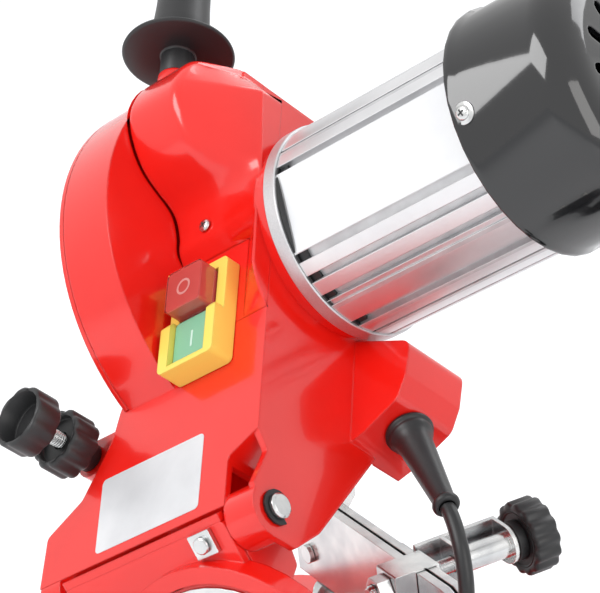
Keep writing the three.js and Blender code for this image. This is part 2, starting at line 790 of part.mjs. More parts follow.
piece('wheel_cover', wheelCover(), redPaint(), armFrame);
piece('arm_back_cover', armBackCover(), blackPlastic(), armFrame);
piece('grinding_wheel', grindingWheel(), abrasive(), armFrame);
piece(
  'wheel_flange_inner',
  wheelFlange(wheelBack, wheelBack + flange.thickness, wheelFront + 2 * gap, wheelBack),
  steel(),
  armFrame,
);
piece(
  'wheel_flange_outer',
  wheelFlange(wheelFront - flange.thickness, wheelFront, wheelFront - flange.thickness, wheelFront),
  steel(),
  armFrame,
);
piece('wheel_nut', wheelNut(), zinc(), armFrame);
piece('rotor_shaft', rotorShaft(), steel(), armFrame);
piece(
  'motor_flange_ring',
  turnedX(
    tube(bearing.radius + 2 * shell, motor.ringRadius, motor.ringFrom, motor.ringTo),
    spindle.y,
    spindle.z,
    44,
  ),
  aluminium(),
  armFrame,
);
piece('motor_body', motorBody(), aluminium(), armFrame);
piece('stator', statorPack(), copper(), armFrame);
piece(
  'bearing_front',
  turnedX(
    tube(bearing.bore, bearing.radius, bearing.front + gap, bearing.front + gap + bearing.width),
    spindle.y,
    spindle.z,
    16,
  ),
  steel(),
  armFrame,
);
piece(
  'bearing_rear',
  turnedX(
    tube(shaft.fanRadius + gap, rear.radius, rear.from, rear.from + rear.width),
    spindle.y,
    spindle.z,
    14,
  ),
  steel(),
  armFrame,
);
piece('motor_end_shield', endShield(), aluminium(), armFrame);
piece('cooling_fan', bladeFan(), blackPlastic(), armFrame);
piece('motor_end_cap', motorEndCap(), blackGloss(), armFrame);
piece(
  'capacitor',
  turnedX(
    chamferedRod(capacitor.radius, capacitor.from, capacitor.to, capacitor.edge),
    capacitor.y,
    capacitor.z,
    14,
  ),
  aluminium(),
  armFrame,
);
piece('switch_frame', switchFrame(), yellowPlastic(), armFrame);
piece('stop_button', key(stopKey), redButton(), armFrame);
piece('start_button', key(startKey), greenButton(), armFrame);
piece('switch_body', switchBody(), blackPlastic(), armFrame);
piece('handle', handleGrip(), blackPlastic(), armFrame);
piece(
  'handle_stud',
  turnedZ(
    rod(handleStud.radius, boss.to - handleStud.below, boss.to + handleStud.above),
    boss.x,
    boss.y,
    12,
  ),
  zinc(),
  armFrame,
);
piece(
  'stop_stud',
  turnedY(chamferedRod(stud.radius, stud.from, stud.to, rodEdge), stopBoss.x, stopBoss.z, 14),
  zinc(),
  armFrame,
);
piece('depth_knob', depthKnob(), blackPlastic(), armFrame);
piece('stop_lock_knob', stopLockKnob(), blackPlastic(), armFrame);
piece('strain_relief', strainRelief(), rubber(), armFrame);

// Tilt bracket: a plate whose curved rim runs round the base's scale disc, two ears for the hinge pin
// and the anvil that the depth stud comes down on. Its frame has x along the pin and y level.

const bracket = {
  rear: -14, front: -9.5, left: -124, leftFoot: -44, top: 6, rimInner: 58, rimOuter: 66,
  rimRear: -23, rimFrom: -22, rimTo: 158, corner: 6, bossRadius: 20, bossFront: -4,
};
const ear = { thickness: 5.7, radius: 10, reach: 22, drop: 16, foot: -44 };
const anvil = { y: 79.9, z: -11.5, pad: 8, thickness: 12, neck: 7 };
const tiltBolt = { radius: 5, headFlats: 17, headThickness: 6.5, rear: -42 };
const scaleDisc = { radius: 57.5, rear: -21, front: -14.3, neck: 26 };
const tiltScale = { inner: 43, outer: 56, thickness: 1, from: 10, to: 170 };
const tiltKnob = { length: 20, radius: 22, lobes: 5, lobeDepth: 4.5, hub: 12, collar: 4 };
const spring = { wire: 1.1, play: 0.8, coils: 9, pitch: 3, from: -92, legA: 24, legB: 22 };
const pinEnd = { near: 0.5, far: -146.5 };
const clip = { inner: 5.5, outer: 8.4, thickness: 1.1, fromLug: 0.5, mouth: 55 };
const stopPlate = { right: -30, width: 12.5, top: 5.5, height: 11.4, thickness: 2.5, corner: 0.5 };
const plateScrew = { radius: 4, height: 2, edge: 0.6 };

const axisX = -tiltAxis.back;
const axisZ = -tiltAxis.drop;
const earRight = lug.rightFrom - gap;
const earLeft = lug.leftTo + gap;
const farClip = Math.min(arm.left, lug.leftFrom) - clip.fromLug - clip.thickness;

function tiltBracket() {
  const web = roundedPolygon([
    [bracket.left, bracket.top, shell], [bracket.left, bracket.leftFoot, bracket.corner],
    [axisX - bracket.rimInner, axisZ + bracket.corner, bracket.corner],
    [axisX, axisZ - 4 * bracket.corner, 4 * bracket.corner],
    [axisX + bracket.rimInner, axisZ + bracket.corner, bracket.corner],
    [earRight, -2 * lug.radius, shell], [earRight, bracket.top, shell],
  ]);
  const rim = sector(axisX, axisZ, bracket.rimInner, bracket.rimOuter, bracket.rimFrom, bracket.rimTo);
  const backing = sector(axisX, axisZ, bracket.bossRadius, bracket.rimOuter, bracket.rimFrom, bracket.rimTo);
  const earOutline = roundedPolygon([
    [-ear.radius, ear.radius, ear.radius], [ear.radius, ear.radius, ear.radius],
    [ear.reach, shell - ear.drop, shell],
    [ear.reach - shell, -1.8 * ear.drop, shell], [bracket.front, ear.foot], [bracket.rear, ear.foot],
    [bracket.rear, -2 * ear.drop], [2 - ear.radius, -1.4 * ear.drop],
  ]);
  const reach = roundedPolygon([
    [0, half(ear.radius)], [anvil.y - 2 * anvil.pad, anvil.z + half(anvil.pad)],
    [anvil.y - anvil.pad, anvil.z - half(anvil.pad)],
    [anvil.y, anvil.z], [anvil.y + half(anvil.pad), anvil.z - anvil.pad],
    [anvil.y - anvil.pad, anvil.z - 2 * anvil.neck, anvil.neck], [0, -ear.drop],
  ]);
  const body = join(
    alongY(web, bracket.rear, bracket.front),
    alongY(backing, bracket.rear, bracket.front, 10),
    alongY(rim, bracket.rimRear, bracket.rear + overrun, 10),
    turnedY(rod(bracket.bossRadius, bracket.rear, bracket.bossFront), axisX, axisZ, 24),
    alongX(earOutline, earRight - ear.thickness, earRight, 4),
    alongX(earOutline, earLeft, earLeft + ear.thickness, 4),
    alongX(reach, earLeft, earLeft + anvil.thickness, 4),
  );
  return cut(
    body,
    turnedX(rod(hinge.pinRadius + gap, arm.left, arm.right), 0, 0, 16),
    turnedY(
      rod(tiltBolt.radius + gap, bracket.rimRear - overrun, bracket.bossFront + overrun),
      axisX,
      axisZ,
      16,
    ),
  );
}

function hingePin() {
  const groove = clip.inner - gap;
  const near = [lug.rightTo + clip.fromLug - gap, lug.rightTo + clip.fromLug + clip.thickness + gap];
  const far = [farClip - gap, farClip + clip.thickness + gap];
  const r = hinge.pinRadius;
  return turnedX([
    [0, pinEnd.far], [r - rodEdge, pinEnd.far], [r, pinEnd.far + rodEdge], [r, far[0]],
    [groove, far[0]],
    [groove, far[1]], [r, far[1]],
    [r, near[0]], [groove, near[0]], [groove, near[1]], [r, near[1]], [r, pinEnd.near - rodEdge],
    [r - rodEdge, pinEnd.near], [0, pinEnd.near],
  ], 0, 0, 14);
}

function circlip(from) {
  const ring = sector(0, 0, clip.inner, clip.outer, clip.mouth - 90, 270);
  return alongX(ring, from, from + clip.thickness, 6);
}

function springPoints() {
  const radius = hinge.pinRadius + spring.play + spring.wire;
  const lean = armLean * degrees;
  const turn = 2 * Math.PI * spring.coils + lean;
  const steps = 8 * spring.coils + 1;
  const points = [];
  const at = (i) => {
    const angle = Math.PI - (turn * i) / steps;
    return new THREE.Vector3(
      spring.from + (spring.pitch * turn * i) / steps / (2 * Math.PI),
      radius * Math.cos(angle),
      radius * Math.sin(angle),
    );
  };
  const start = at(0);
  const end = at(steps);
  points.push(start.clone().add(new THREE.Vector3(0, 0, -spring.legA)));
  for (let i = 0; i <= steps; i += 1) points.push(at(i));
  points.push(
    end.clone().add(new THREE.Vector3(0, Math.sin(lean), Math.cos(lean)).multiplyScalar(spring.legB)),
  );
  return points;
}

// A tube of even section through every one of its points

function sweep(points, radius, sides) {
  const positions = [];
  const rings = [];
  const tangentAt = (i) => {
    const before = points[Math.max(i - 1, 0)];
    const after = points[Math.min(i + 1, points.length - 1)];
    return after.clone().sub(before).normalize();
  };
  let normal = new THREE.Vector3(1, 0, 0);
  if (Math.abs(tangentAt(0).dot(normal)) > 0.9) normal = new THREE.Vector3(0, 1, 0);
  points.forEach((point, i) => {
    const tangent = tangentAt(i);
    normal.sub(tangent.clone().multiplyScalar(normal.dot(tangent))).normalize();
    const side = tangent.clone().cross(normal);
    const ring = [];
    for (let k = 0; k < sides; k += 1) {
      const angle = (2 * Math.PI * k) / sides;
      const p = point.clone().addScaledVector(
        normal,
        radius * Math.cos(angle),
      ).addScaledVector(side, radius * Math.sin(angle));
      ring.push(positions.length / 3);
      positions.push(p.x, p.y, p.z);
    }
    rings.push(ring);
  });
  const index = [];
  for (let i = 0; i + 1 < rings.length; i += 1) {
    for (let k = 0; k < sides; k += 1) {
      const n = (k + 1) % sides;
      index.push(rings[i][k], rings[i][n], rings[i + 1][n], rings[i][k], rings[i + 1][n], rings[i + 1][k]);
    }
  }
  for (let k = 1; k + 1 < sides; k += 1) {
    index.push(rings[0][0], rings[0][k + 1], rings[0][k]);
    index.push(rings.at(-1)[0], rings.at(-1)[k], rings.at(-1)[k + 1]);
  }
  const geometry = new THREE.BufferGeometry();
  geometry.setAttribute('position', new THREE.Float32BufferAttribute(positions, 3));
  geometry.setIndex(index);
  return geometry;
}

function tiltLockKnob() {
  const front = scaleDisc.rear - gap;
  const back = front - tiltKnob.length;
  const grip = alongY(
    shifted(lobedOutline(tiltKnob.radius, tiltKnob.lobeDepth, tiltKnob.lobes), axisX, axisZ),
    back,
    front - tiltKnob.collar,
    1,
  );
  const hub = turnedY(rod(tiltKnob.hub, front - 2 * tiltKnob.collar, front), axisX, axisZ, 20);
  return cut(
    join(grip, hub),
    turnedY(rod(tiltBolt.radius + gap, tiltBolt.rear - overrun, front + overrun), axisX, axisZ, 16),
  );
}

function tiltBoltSolid() {
  const headFrom = bracket.bossFront + gap;
  const head = alongY(
    shifted(hexagon(tiltBolt.headFlats), axisX, axisZ),
    headFrom,
    headFrom + tiltBolt.headThickness,
    1,
  );
  return join(head, turnedY(rod(tiltBolt.radius, tiltBolt.rear, headFrom + overrun), axisX, axisZ, 16));
}

const plateRear = bracket.rear - gap - stopPlate.thickness;
const plateMidX = stopPlate.right - half(stopPlate.width);
const plateMidZ = stopPlate.top - half(stopPlate.height);

function stopPlateSolid() {
  const outline = roundedRectangle(
    stopPlate.right - stopPlate.width,
    stopPlate.right,
    stopPlate.top - stopPlate.height,
    stopPlate.top,
    stopPlate.corner,
  );
  return alongY(outline, plateRear, bracket.rear - gap, 2);
}

piece('tilt_bracket', tiltBracket(), redPaint(), tiltFrame);
piece('hinge_pin', hingePin(), zinc(), tiltFrame);
piece('circlip_near', circlip(lug.rightTo + clip.fromLug), steel(), tiltFrame);
piece('circlip_far', circlip(farClip), steel(), tiltFrame);
piece('return_spring', sweep(springPoints(), spring.wire, 5), steel(), tiltFrame);
piece('stop_plate', stopPlateSolid(), zinc(), tiltFrame);
piece(
  'stop_plate_screw',
  turnedY(
    chamferedRod(plateScrew.radius, plateRear - gap - plateScrew.height, plateRear - gap, plateScrew.edge),
    plateMidX,
    plateMidZ,
    12,
  ),
  zinc(),
  tiltFrame,
);
piece('tilt_bolt', tiltBoltSolid(), zinc(), tiltFrame);
piece('tilt_lock_knob', tiltLockKnob(), blackPlastic(), tiltFrame);

// Base: a hollow casting with four feet, the scale disc on its upright and the vise's round seat

const upright = { rearFoot: 26, rib: 6, ribHeight: 34 };
const viseSeat = { radius: 45, height: 1, bore: 5.3 };
const arch = { width: 96, height: 25 };
const tiltCentre = new THREE.Vector3(axisX, 0, axisZ).applyAxisAngle(
  new THREE.Vector3(0, 1, 0),
  -motorTilt * degrees,
).add(tiltFrame.position);
const viseScale = { inner: 33.5, outer: 43.5, thickness: 0.8, from: 30, to: 150 };

function footPad(sx, sy) {
  const x = sx * half(base.width);
  const y = sy * (half(base.depth) - foot.fromEnd);
  const outline = roundedRectangle(
    Math.min(x - sx * base.corner, x + sx * foot.reach),
    Math.max(x - sx * base.corner, x + sx * foot.reach),
    y - half(foot.length),
    y + half(foot.length),
    foot.corner,
  );
  return alongZ(outline, 0, foot.thickness, 2);
}

function footSlot(sx, sy) {
  const x = sx * (half(base.width) + half(foot.reach));
  const y = sy * (half(base.depth) - foot.fromEnd);
  return alongZ(slot(x, y, foot.slotLength, foot.slotWidth, 0), -overrun, foot.thickness + overrun, 3);
}

const foot = { length: 40, reach: 22, thickness: 7, corner: 8, fromEnd: 42, slotLength: 15, slotWidth: 9 };
const corners = [[-1, -1], [1, -1], [1, 1], [-1, 1]];

function baseCasting() {
  const [w, d] = [half(base.width), half(base.depth)];
  const top = base.height;
  const box = alongZ(roundedRectangle(-w, w, -d, d, base.corner), 0, top, 3);
  const discCentre = [tiltCentre.x, tiltCentre.z];
  const rearY = hinge.y + scaleDisc.rear;
  const frontY = hinge.y + scaleDisc.front;
  const neck = polygon([
    [tiltCentre.x - scaleDisc.neck - 4 * shell, top - overrun],
    [tiltCentre.x + scaleDisc.neck + 4 * shell, top - overrun],
    [tiltCentre.x + scaleDisc.neck, top + 4 * shell], [tiltCentre.x + scaleDisc.neck, tiltCentre.z],
    [tiltCentre.x - scaleDisc.neck, tiltCentre.z], [tiltCentre.x - scaleDisc.neck, top + 4 * shell],
  ]);
  const ribOutline = polygon([
    [rearY + overrun, top - overrun], [rearY + overrun, top + upright.ribHeight],
    [rearY, top + upright.ribHeight],
    [rearY - upright.rearFoot, top + shell], [rearY - upright.rearFoot, top - overrun],
  ]);
  const ribs = [-1, 1].map((side) => {
    const x = tiltCentre.x + side * (scaleDisc.neck - half(upright.rib));
    return alongX(ribOutline, x - half(upright.rib), x + half(upright.rib), 1);
  });
  const body = join(
    box,
    ...corners.map(([sx, sy]) => footPad(sx, sy)),
    turnedY(rod(scaleDisc.radius, rearY, frontY), ...discCentre, 40),
    alongY(neck, rearY, frontY, 1),
    ...ribs,
    turnedZ(rod(viseSeat.radius, top - overrun, top + viseSeat.height), swivel.x, swivel.y, 32),
  );
  const wall = base.wall;
  return cut(
    body,
    alongZ(
      roundedRectangle(wall - w, w - wall, wall - d, d - wall, base.corner - wall),
      -overrun,
      top - wall,
      3,
    ),
    ...corners.map(([sx, sy]) => footSlot(sx, sy)),
    alongY(
      roundedRectangle(-half(arch.width), half(arch.width), -arch.height, arch.height, 2 * shell),
      d - 2 * wall,
      d + overrun,
      2,
    ),
    turnedY(rod(tiltBolt.radius + gap, rearY - overrun, frontY + overrun), ...discCentre, 16),
    turnedZ(rod(viseSeat.bore, 0, top + 2 * overrun), swivel.x, swivel.y, 16),
  );
}

function tiltScalePlate() {
  const rear = hinge.y + scaleDisc.rear - gap - tiltScale.thickness;
  return alongY(
    sector(tiltCentre.x, tiltCentre.z, tiltScale.inner, tiltScale.outer, tiltScale.from, tiltScale.to),
    rear,
    rear + tiltScale.thickness,
    10,
  );
}

const viseScaleFoot = base.height + viseSeat.height + gap;

piece('base_casting', baseCasting(), redPaint(), part);
piece('tilt_scale_plate', tiltScalePlate(), zinc(), part);
piece(
  'vise_scale_plate',
  alongZ(
    sector(swivel.x, swivel.y, viseScale.inner, viseScale.outer, viseScale.from, viseScale.to),
    viseScaleFoot,
    viseScaleFoot + viseScale.thickness,
    8,
  ),
  zinc(),
  part,
);

// Vise: a turntable with two cheeks, the two rails that grip the chain, and their screw clamp

const turntable = {
  radius: 32, thickness: 2.5, cheekFrom: 21, cheek: 4, cheekRadius: 7.5, cheekBase: 15, nib: 8, nibReach: 5,
};
const swivelBolt = { radius: 5, headRadius: 8.5, headHeight: 2.2, foot: 9 };
const swivelKnob = { radius: 18, lobes: 6, lobeDepth: 3.5, foot: 9, height: 13, hub: 11 };
const pivot = { radius: 4, knuckle: 5.6, knuckleFrom: 10.5, headRadius: 7, headHeight: 4.5 };
const rail = {
  left: -44, right: 108, top: 55.4, height: 47, gripGap: 1.6, near: 4.8, far: 4.2, chamfer: 8, closing: 1,
};
const guide = { left: -30, right: 36, drop: 33, radius: 2.8, headRadius: 5, headHeight: 2.4 };
const clampScrew = { x: 70, drop: 7, radius: 4, rear: -28, knobFrom: 54.2, end: 63 };
const clampBlock = { width: 17, rear: -17.5, front: 7, above: 1.5, height: 32 };
const clampNut = { acrossFlats: 13, height: 7 };
const uBracket = { rear: 19, front: 51, sheet: 2.2, radius: 10, sleeve: 6.5, webAside: 10, footReach: 14 };
const clampKnob = { radius: 18.6, lobes: 12, lobeDepth: 1.6, from: 56, to: 70, hub: 10, hubFrom: 51.6 };

const turntableFoot = viseScaleFoot;
const turntableTop = turntableFoot + turntable.thickness;
const pivotZ = swivel.pivotHeight;
const screwZ = rail.top - clampScrew.drop;
const guideZ = rail.top - guide.drop;

function viseTurntable() {
  const cheekOutline = roundedPolygon([
    [-turntable.cheekBase, turntableFoot], [turntable.cheekBase, turntableFoot],
    [turntable.cheekRadius, pivotZ + turntable.cheekRadius, turntable.cheekRadius],
    [-turntable.cheekRadius, pivotZ + turntable.cheekRadius, turntable.cheekRadius],
  ]);
  const nib = polygon([
    [-half(turntable.nib), turntable.radius - overrun], [half(turntable.nib), turntable.radius - overrun],
    [0, turntable.radius + turntable.nibReach],
  ]);
  const outer = turntable.cheekFrom + turntable.cheek;
  return cut(
    join(
      turnedZ(rod(turntable.radius, turntableFoot, turntableTop), 0, 0, 28),
      alongZ(nib, turntableFoot + viseScale.thickness + gap, turntableTop, 1),
      alongX(cheekOutline, turntable.cheekFrom, outer, 3),
      alongX(cheekOutline, -outer, -turntable.cheekFrom, 3),
    ),
    turnedX(rod(pivot.radius + gap, -2 * outer, 2 * outer), 0, pivotZ, 16),
    turnedZ(rod(swivelBolt.radius + gap, turntableFoot - overrun, turntableTop + overrun), 0, 0, 16),
  );
}

function swivelBoltSolid() {
  const seatTop = turntableTop + gap;
  return turnedZ([
    [0, swivelBolt.foot], [swivelBolt.radius, swivelBolt.foot], [swivelBolt.radius, seatTop],
    [swivelBolt.headRadius, seatTop],
    [swivelBolt.headRadius - rodEdge, seatTop + swivelBolt.headHeight],
    [0, seatTop + swivelBolt.headHeight],
  ], 0, 0, 14);
}

function swivelKnobSolid() {
  const top = base.height - base.wall - gap;
  const grip = alongZ(
    lobedOutline(swivelKnob.radius, swivelKnob.lobeDepth, swivelKnob.lobes),
    swivelKnob.foot,
    swivelKnob.foot + swivelKnob.height,
    1,
  );
  const hub = turnedZ(rod(swivelKnob.hub, swivelKnob.foot + half(swivelKnob.height), top), 0, 0, 20);
  return cut(join(grip, hub), turnedZ(rod(swivelBolt.radius + gap, 0, top + overrun), 0, 0, 16));
}

function pivotBolt() {
  const outer = turntable.cheekFrom + turntable.cheek + gap;
  return turnedX([
    [0, -outer - pivot.headHeight], [pivot.headRadius, -outer - pivot.headHeight],
    [pivot.headRadius, -outer], [pivot.radius, -outer],
    [pivot.radius, outer + 2 * pivot.headHeight], [0, outer + 2 * pivot.headHeight],
  ], 0, 0, 16);
}

function pivotNut() {
  const outer = turntable.cheekFrom + turntable.cheek + gap;
  return cut(
    alongX(hexagon(2 * pivot.headRadius), outer, outer + pivot.headHeight, 1),
    turnedX(rod(pivot.radius + gap, 0, 2 * outer), 0, 0, 16),
  );
}

function railOutline(foot) {
  return roundedPolygon([
    [rail.left, foot], [rail.right, foot, shell], [rail.right, rail.top, rail.chamfer],
    [rail.left + rail.chamfer, rail.top, shell],
    [rail.left, rail.top - rail.chamfer, shell],
  ]);
}

function guideHoles(radius) {
  return [guide.left, guide.right].map(
    (x) => turnedY(rod(radius, -4 * guide.headRadius, 4 * guide.headRadius), x, guideZ, 10),
  );
}

function railFixed() {
  const from = half(rail.gripGap);
  const to = from + rail.far;
  const knuckles = [-1, 1].map((side) => {
    const a = side * pivot.knuckleFrom;
    const b = side * (turntable.cheekFrom - gap);
    return turnedX(rod(pivot.knuckle, Math.min(a, b), Math.max(a, b)), 0, 0, 16);
  });
  const web = rectangle(
    gap - turntable.cheekFrom,
    turntable.cheekFrom - gap,
    0,
    rail.top - rail.height + shell,
  );
  return cut(
    join(alongY(railOutline(rail.top - rail.height), from, to, 2), alongY(web, from, to, 1), ...knuckles),
    turnedX(rod(pivot.radius + gap, -2 * turntable.radius, 2 * turntable.radius), 0, 0, 16),
    turnedY(
      rod(clampScrew.radius + gap + 0.5 * rail.closing, -rail.far, 4 * rail.far),
      clampScrew.x,
      screwZ,
      14,
    ),
    ...guideHoles(guide.radius + gap),
  );
}

function railMoving() {
  const to = -half(rail.gripGap);
  const body = alongY(railOutline(rail.top - rail.height), to - rail.near, to, 2);
  return cut(
    body,
    turnedY(rod(clampScrew.radius + gap, -4 * rail.near, rail.near), clampScrew.x, screwZ, 14),
    ...guideHoles(guide.radius + gap),
  );
}

function guidePin(x) {
  const near = -half(rail.gripGap) - rail.near - gap;
  const far = half(rail.gripGap) + rail.far + gap;
  return turnedY([
    [0, near - guide.headHeight], [guide.headRadius, near - guide.headHeight], [guide.headRadius, near],
    [guide.radius, near],
    [guide.radius, far], [guide.headRadius, far], [guide.headRadius, far + guide.headHeight],
    [0, far + guide.headHeight],
  ], x, guideZ, 10);
}

function clampBlockSolid() {
  const x0 = clampScrew.x - half(clampBlock.width);
  const x1 = clampScrew.x + half(clampBlock.width);
  const top = rail.top + clampBlock.above;
  const block = alongX(
    roundedRectangle(clampBlock.rear, clampBlock.front, top - clampBlock.height, top, 1),
    x0,
    x1,
    2,
  );
  const groove = rectangle(
    -half(rail.gripGap) - rail.near - gap,
    half(rail.gripGap) + rail.far + gap,
    0,
    rail.top + gap,
  );
  return cut(
    block,
    alongX(groove, x0 - overrun, x1 + overrun, 1),
    turnedY(
      rod(clampScrew.radius + gap, clampBlock.rear - overrun, clampBlock.front + overrun),
      clampScrew.x,
      screwZ,
      14,
    ),
  );
}

function clampBracket() {
  const x = clampScrew.x;
  const tab = join(
    turnedY(rod(uBracket.radius, 0, uBracket.sheet), x, screwZ, 20),
    alongY(
      rectangle(
        x - uBracket.webAside - uBracket.sheet,
        x,
        screwZ - uBracket.radius,
        screwZ + uBracket.radius,
      ),
      0,
      uBracket.sheet,
      1,
    ),
  );
  const tabAt = (y) => tab.translate([0, y, 0]);
  const railFront = half(rail.gripGap) + rail.far + gap;
  const webX = x - uBracket.webAside - uBracket.sheet;
  const web = alongX(
    rectangle(railFront, uBracket.front, screwZ - uBracket.radius, screwZ + uBracket.radius),
    webX,
    webX + uBracket.sheet,
    1,
  );
  const foot = alongY(
    rectangle(
      webX - uBracket.footReach,
      webX + uBracket.sheet,
      screwZ - uBracket.radius,
      screwZ + half(uBracket.radius),
    ),
    railFront,
    railFront + uBracket.sheet,
    1,
  );
  const sleeve = turnedY(rod(uBracket.sleeve, uBracket.rear, uBracket.front), x, screwZ, 16);
  return cut(
    join(tabAt(uBracket.rear), tabAt(uBracket.front - uBracket.sheet), web, foot, sleeve),
    turnedY(rod(clampScrew.radius + gap, uBracket.rear - overrun, uBracket.front + overrun), x, screwZ, 14),
  );
}

function clampNutSolid() {
  const to = clampBlock.rear - gap;
  return cut(
    alongY(shifted(hexagon(clampNut.acrossFlats), clampScrew.x, screwZ), to - clampNut.height, to, 1),
    turnedY(rod(clampScrew.radius + gap, to - 2 * clampNut.height, to + overrun), clampScrew.x, screwZ, 14),
  );
}

function clampKnobSolid() {
  const grip = alongY(
    shifted(lobedOutline(clampKnob.radius, clampKnob.lobeDepth, clampKnob.lobes), clampScrew.x, screwZ),
    clampKnob.from,
    clampKnob.to,
    1,
  );
  const hub = turnedY(
    rod(clampKnob.hub, clampKnob.hubFrom, clampKnob.from + overrun),
    clampScrew.x,
    screwZ,
    20,
  );
  return cut(
    join(grip, hub),
    turnedY(rod(clampScrew.radius + gap, 0, clampScrew.end + rail.closing + gap), clampScrew.x, screwZ, 14),
  );
}

piece('vise_turntable', viseTurntable(), zinc(), turnFrame);
piece('swivel_bolt', swivelBoltSolid(), zinc(), turnFrame);
piece('swivel_lock_knob', swivelKnobSolid(), blackPlastic(), turnFrame);
piece('pivot_bolt', pivotBolt(), zinc(), viseFrame);
piece('pivot_nut', pivotNut(), zinc(), viseFrame);
piece('rail_fixed', railFixed(), zinc(), viseFrame);
piece('rail_moving', railMoving(), zinc(), viseFrame);
piece('guide_pin_left', guidePin(guide.left), zinc(), viseFrame);
piece('guide_pin_right', guidePin(guide.right), zinc(), viseFrame);
piece('clamp_block', clampBlockSolid(), zinc(), viseFrame);
piece('clamp_bracket', clampBracket(), zinc(), viseFrame);
piece(
  'clamp_screw',
  turnedY(
    chamferedRod(clampScrew.radius, clampScrew.rear, clampScrew.end, rodEdge),
    clampScrew.x,
    screwZ,
    14,
  ),
  zinc(),
  viseFrame,
);
piece('clamp_nut', clampNutSolid(), zinc(), viseFrame);
piece('clamp_knob', clampKnobSolid(), blackPlastic(), viseFrame);

// Chain stop: a bent bracket on the fixed rail whose pawl drops between the rails

const chainStop = {
  left: -44, right: -18, foot: 26, head: 2, sheet: 2.2, pinY: 12, rise: 2.5, earRadius: 5.5, earFoot: 15,
};
const pawl = { left: -37, right: -29, radius: 5, finger: 3.6, reach: 17, tip: 3, lift: 0.6 };
const pawlPin = { radius: 2, headRadius: 3.6, headHeight: 1.4 };

const railFront = half(rail.gripGap) + rail.far + gap;
const pawlZ = rail.top + chainStop.rise;

function chainStopBracket() {
  const plate = alongY(
    rectangle(chainStop.left, chainStop.right, rail.top - chainStop.foot, rail.top - chainStop.head),
    railFront,
    railFront + chainStop.sheet,
    1,
  );
  const earOutline = roundedPolygon([
    [railFront, rail.top - chainStop.earFoot], [railFront + chainStop.sheet, rail.top - chainStop.earFoot],
    [chainStop.pinY + chainStop.earRadius, pawlZ - chainStop.earRadius, chainStop.sheet],
    [chainStop.pinY + chainStop.earRadius, pawlZ + chainStop.earRadius, chainStop.earRadius],
    [railFront + chainStop.sheet, pawlZ + chainStop.earRadius, chainStop.earRadius],
    [railFront, rail.top - chainStop.head],
  ]);
  return cut(
    join(
      plate,
      alongX(earOutline, chainStop.left, chainStop.left + chainStop.sheet, 3),
      alongX(earOutline, chainStop.right - chainStop.sheet, chainStop.right, 3),
    ),
    turnedX(
      rod(pawlPin.radius + gap, chainStop.left - overrun, chainStop.right + overrun),
      chainStop.pinY,
      pawlZ,
      14,
    ),
  );
}

function chainStopPawl() {
  const tipY = chainStop.pinY - pawl.reach;
  const tipZ = rail.top + pawl.lift;
  const finger = roundedPolygon([
    [chainStop.pinY, pawlZ - half(pawl.radius)], [chainStop.pinY, pawlZ + pawl.radius],
    [tipY + pawl.tip, pawlZ + pawl.finger, pawl.tip],
    [tipY, tipZ], [tipY + pawl.tip, tipZ],
  ]);
  return cut(
    join(
      turnedX(rod(pawl.radius, pawl.left, pawl.right), chainStop.pinY, pawlZ, 20),
      alongX(finger, pawl.left, pawl.right, 4),
    ),
    turnedX(rod(pawlPin.radius + gap, pawl.left - overrun, pawl.right + overrun), chainStop.pinY, pawlZ, 14),
  );
}

function pawlPinSolid() {
  const left = chainStop.left - gap;
  const right = chainStop.right + gap;
  return turnedX([
    [0, left - pawlPin.headHeight], [pawlPin.headRadius, left - pawlPin.headHeight],
    [pawlPin.headRadius, left], [pawlPin.radius, left],
    [pawlPin.radius, right], [pawlPin.headRadius, right], [pawlPin.headRadius, right + pawlPin.headHeight],
    [0, right + pawlPin.headHeight],
  ], chainStop.pinY, pawlZ, 10);
}

piece('chain_stop_bracket', chainStopBracket(), zinc(), viseFrame);
piece('chain_stop_pawl', chainStopPawl(), zinc(), viseFrame);
piece('pawl_pin', pawlPinSolid(), zinc(), viseFrame);

// Mains cord: an upper and a lower free stretch, a coil of two layers on the floor and the plug

const cordDrop = [
  [93.1, -21.8, 157.8], [97.3, -25.6, 155.4], [101.2, -29.1, 151.9], [105.1, -32.7, 147.2],
  [108.1, -35.4, 142],
  [111.2, -38.3, 133.5], [112.7, -39.7, 122], [112.9, -39.8, 105], [112.9, -39.8, 80], [112.9, -39.8, 60.2],
];
const cordFoot = [
  [112.9, -39.8, 59.9], [112.9, -39.8, 50], [112.9, -39.8, 36], [112.9, -36.8, 22], [112.9, -28.6, 10.2],
  [112.9, -17.6, 4.6], [112.9, -8, 3.8], [112.9, -4.3, 3.8],
];
const coil = { turns: 3, pitch: 7.9, layer: 7.7, inner: 29, steps: 20, tail: 34, lead: 9 };
const plug = {
  radius: 18, length: 36, neckRadius: 8, neckLength: 16, pinRadius: 2.4, pinLength: 19, pinSpacing: 19,
  recess: 4, floor: 0.3,
  edge: 1,
};

function cordAlong(points) {
  const curve = new THREE.CatmullRomCurve3(points.map((p) => new THREE.Vector3(...p)));
  const section = disc(0, 0, half(cordDiameter));
  const steps = Math.max(8, Math.round(curve.getLength() / (2 * cordDiameter)));
  return new THREE.ExtrudeGeometry(
    section,
    { steps, bevelEnabled: false, curveSegments: 5, extrudePath: curve },
  );
}

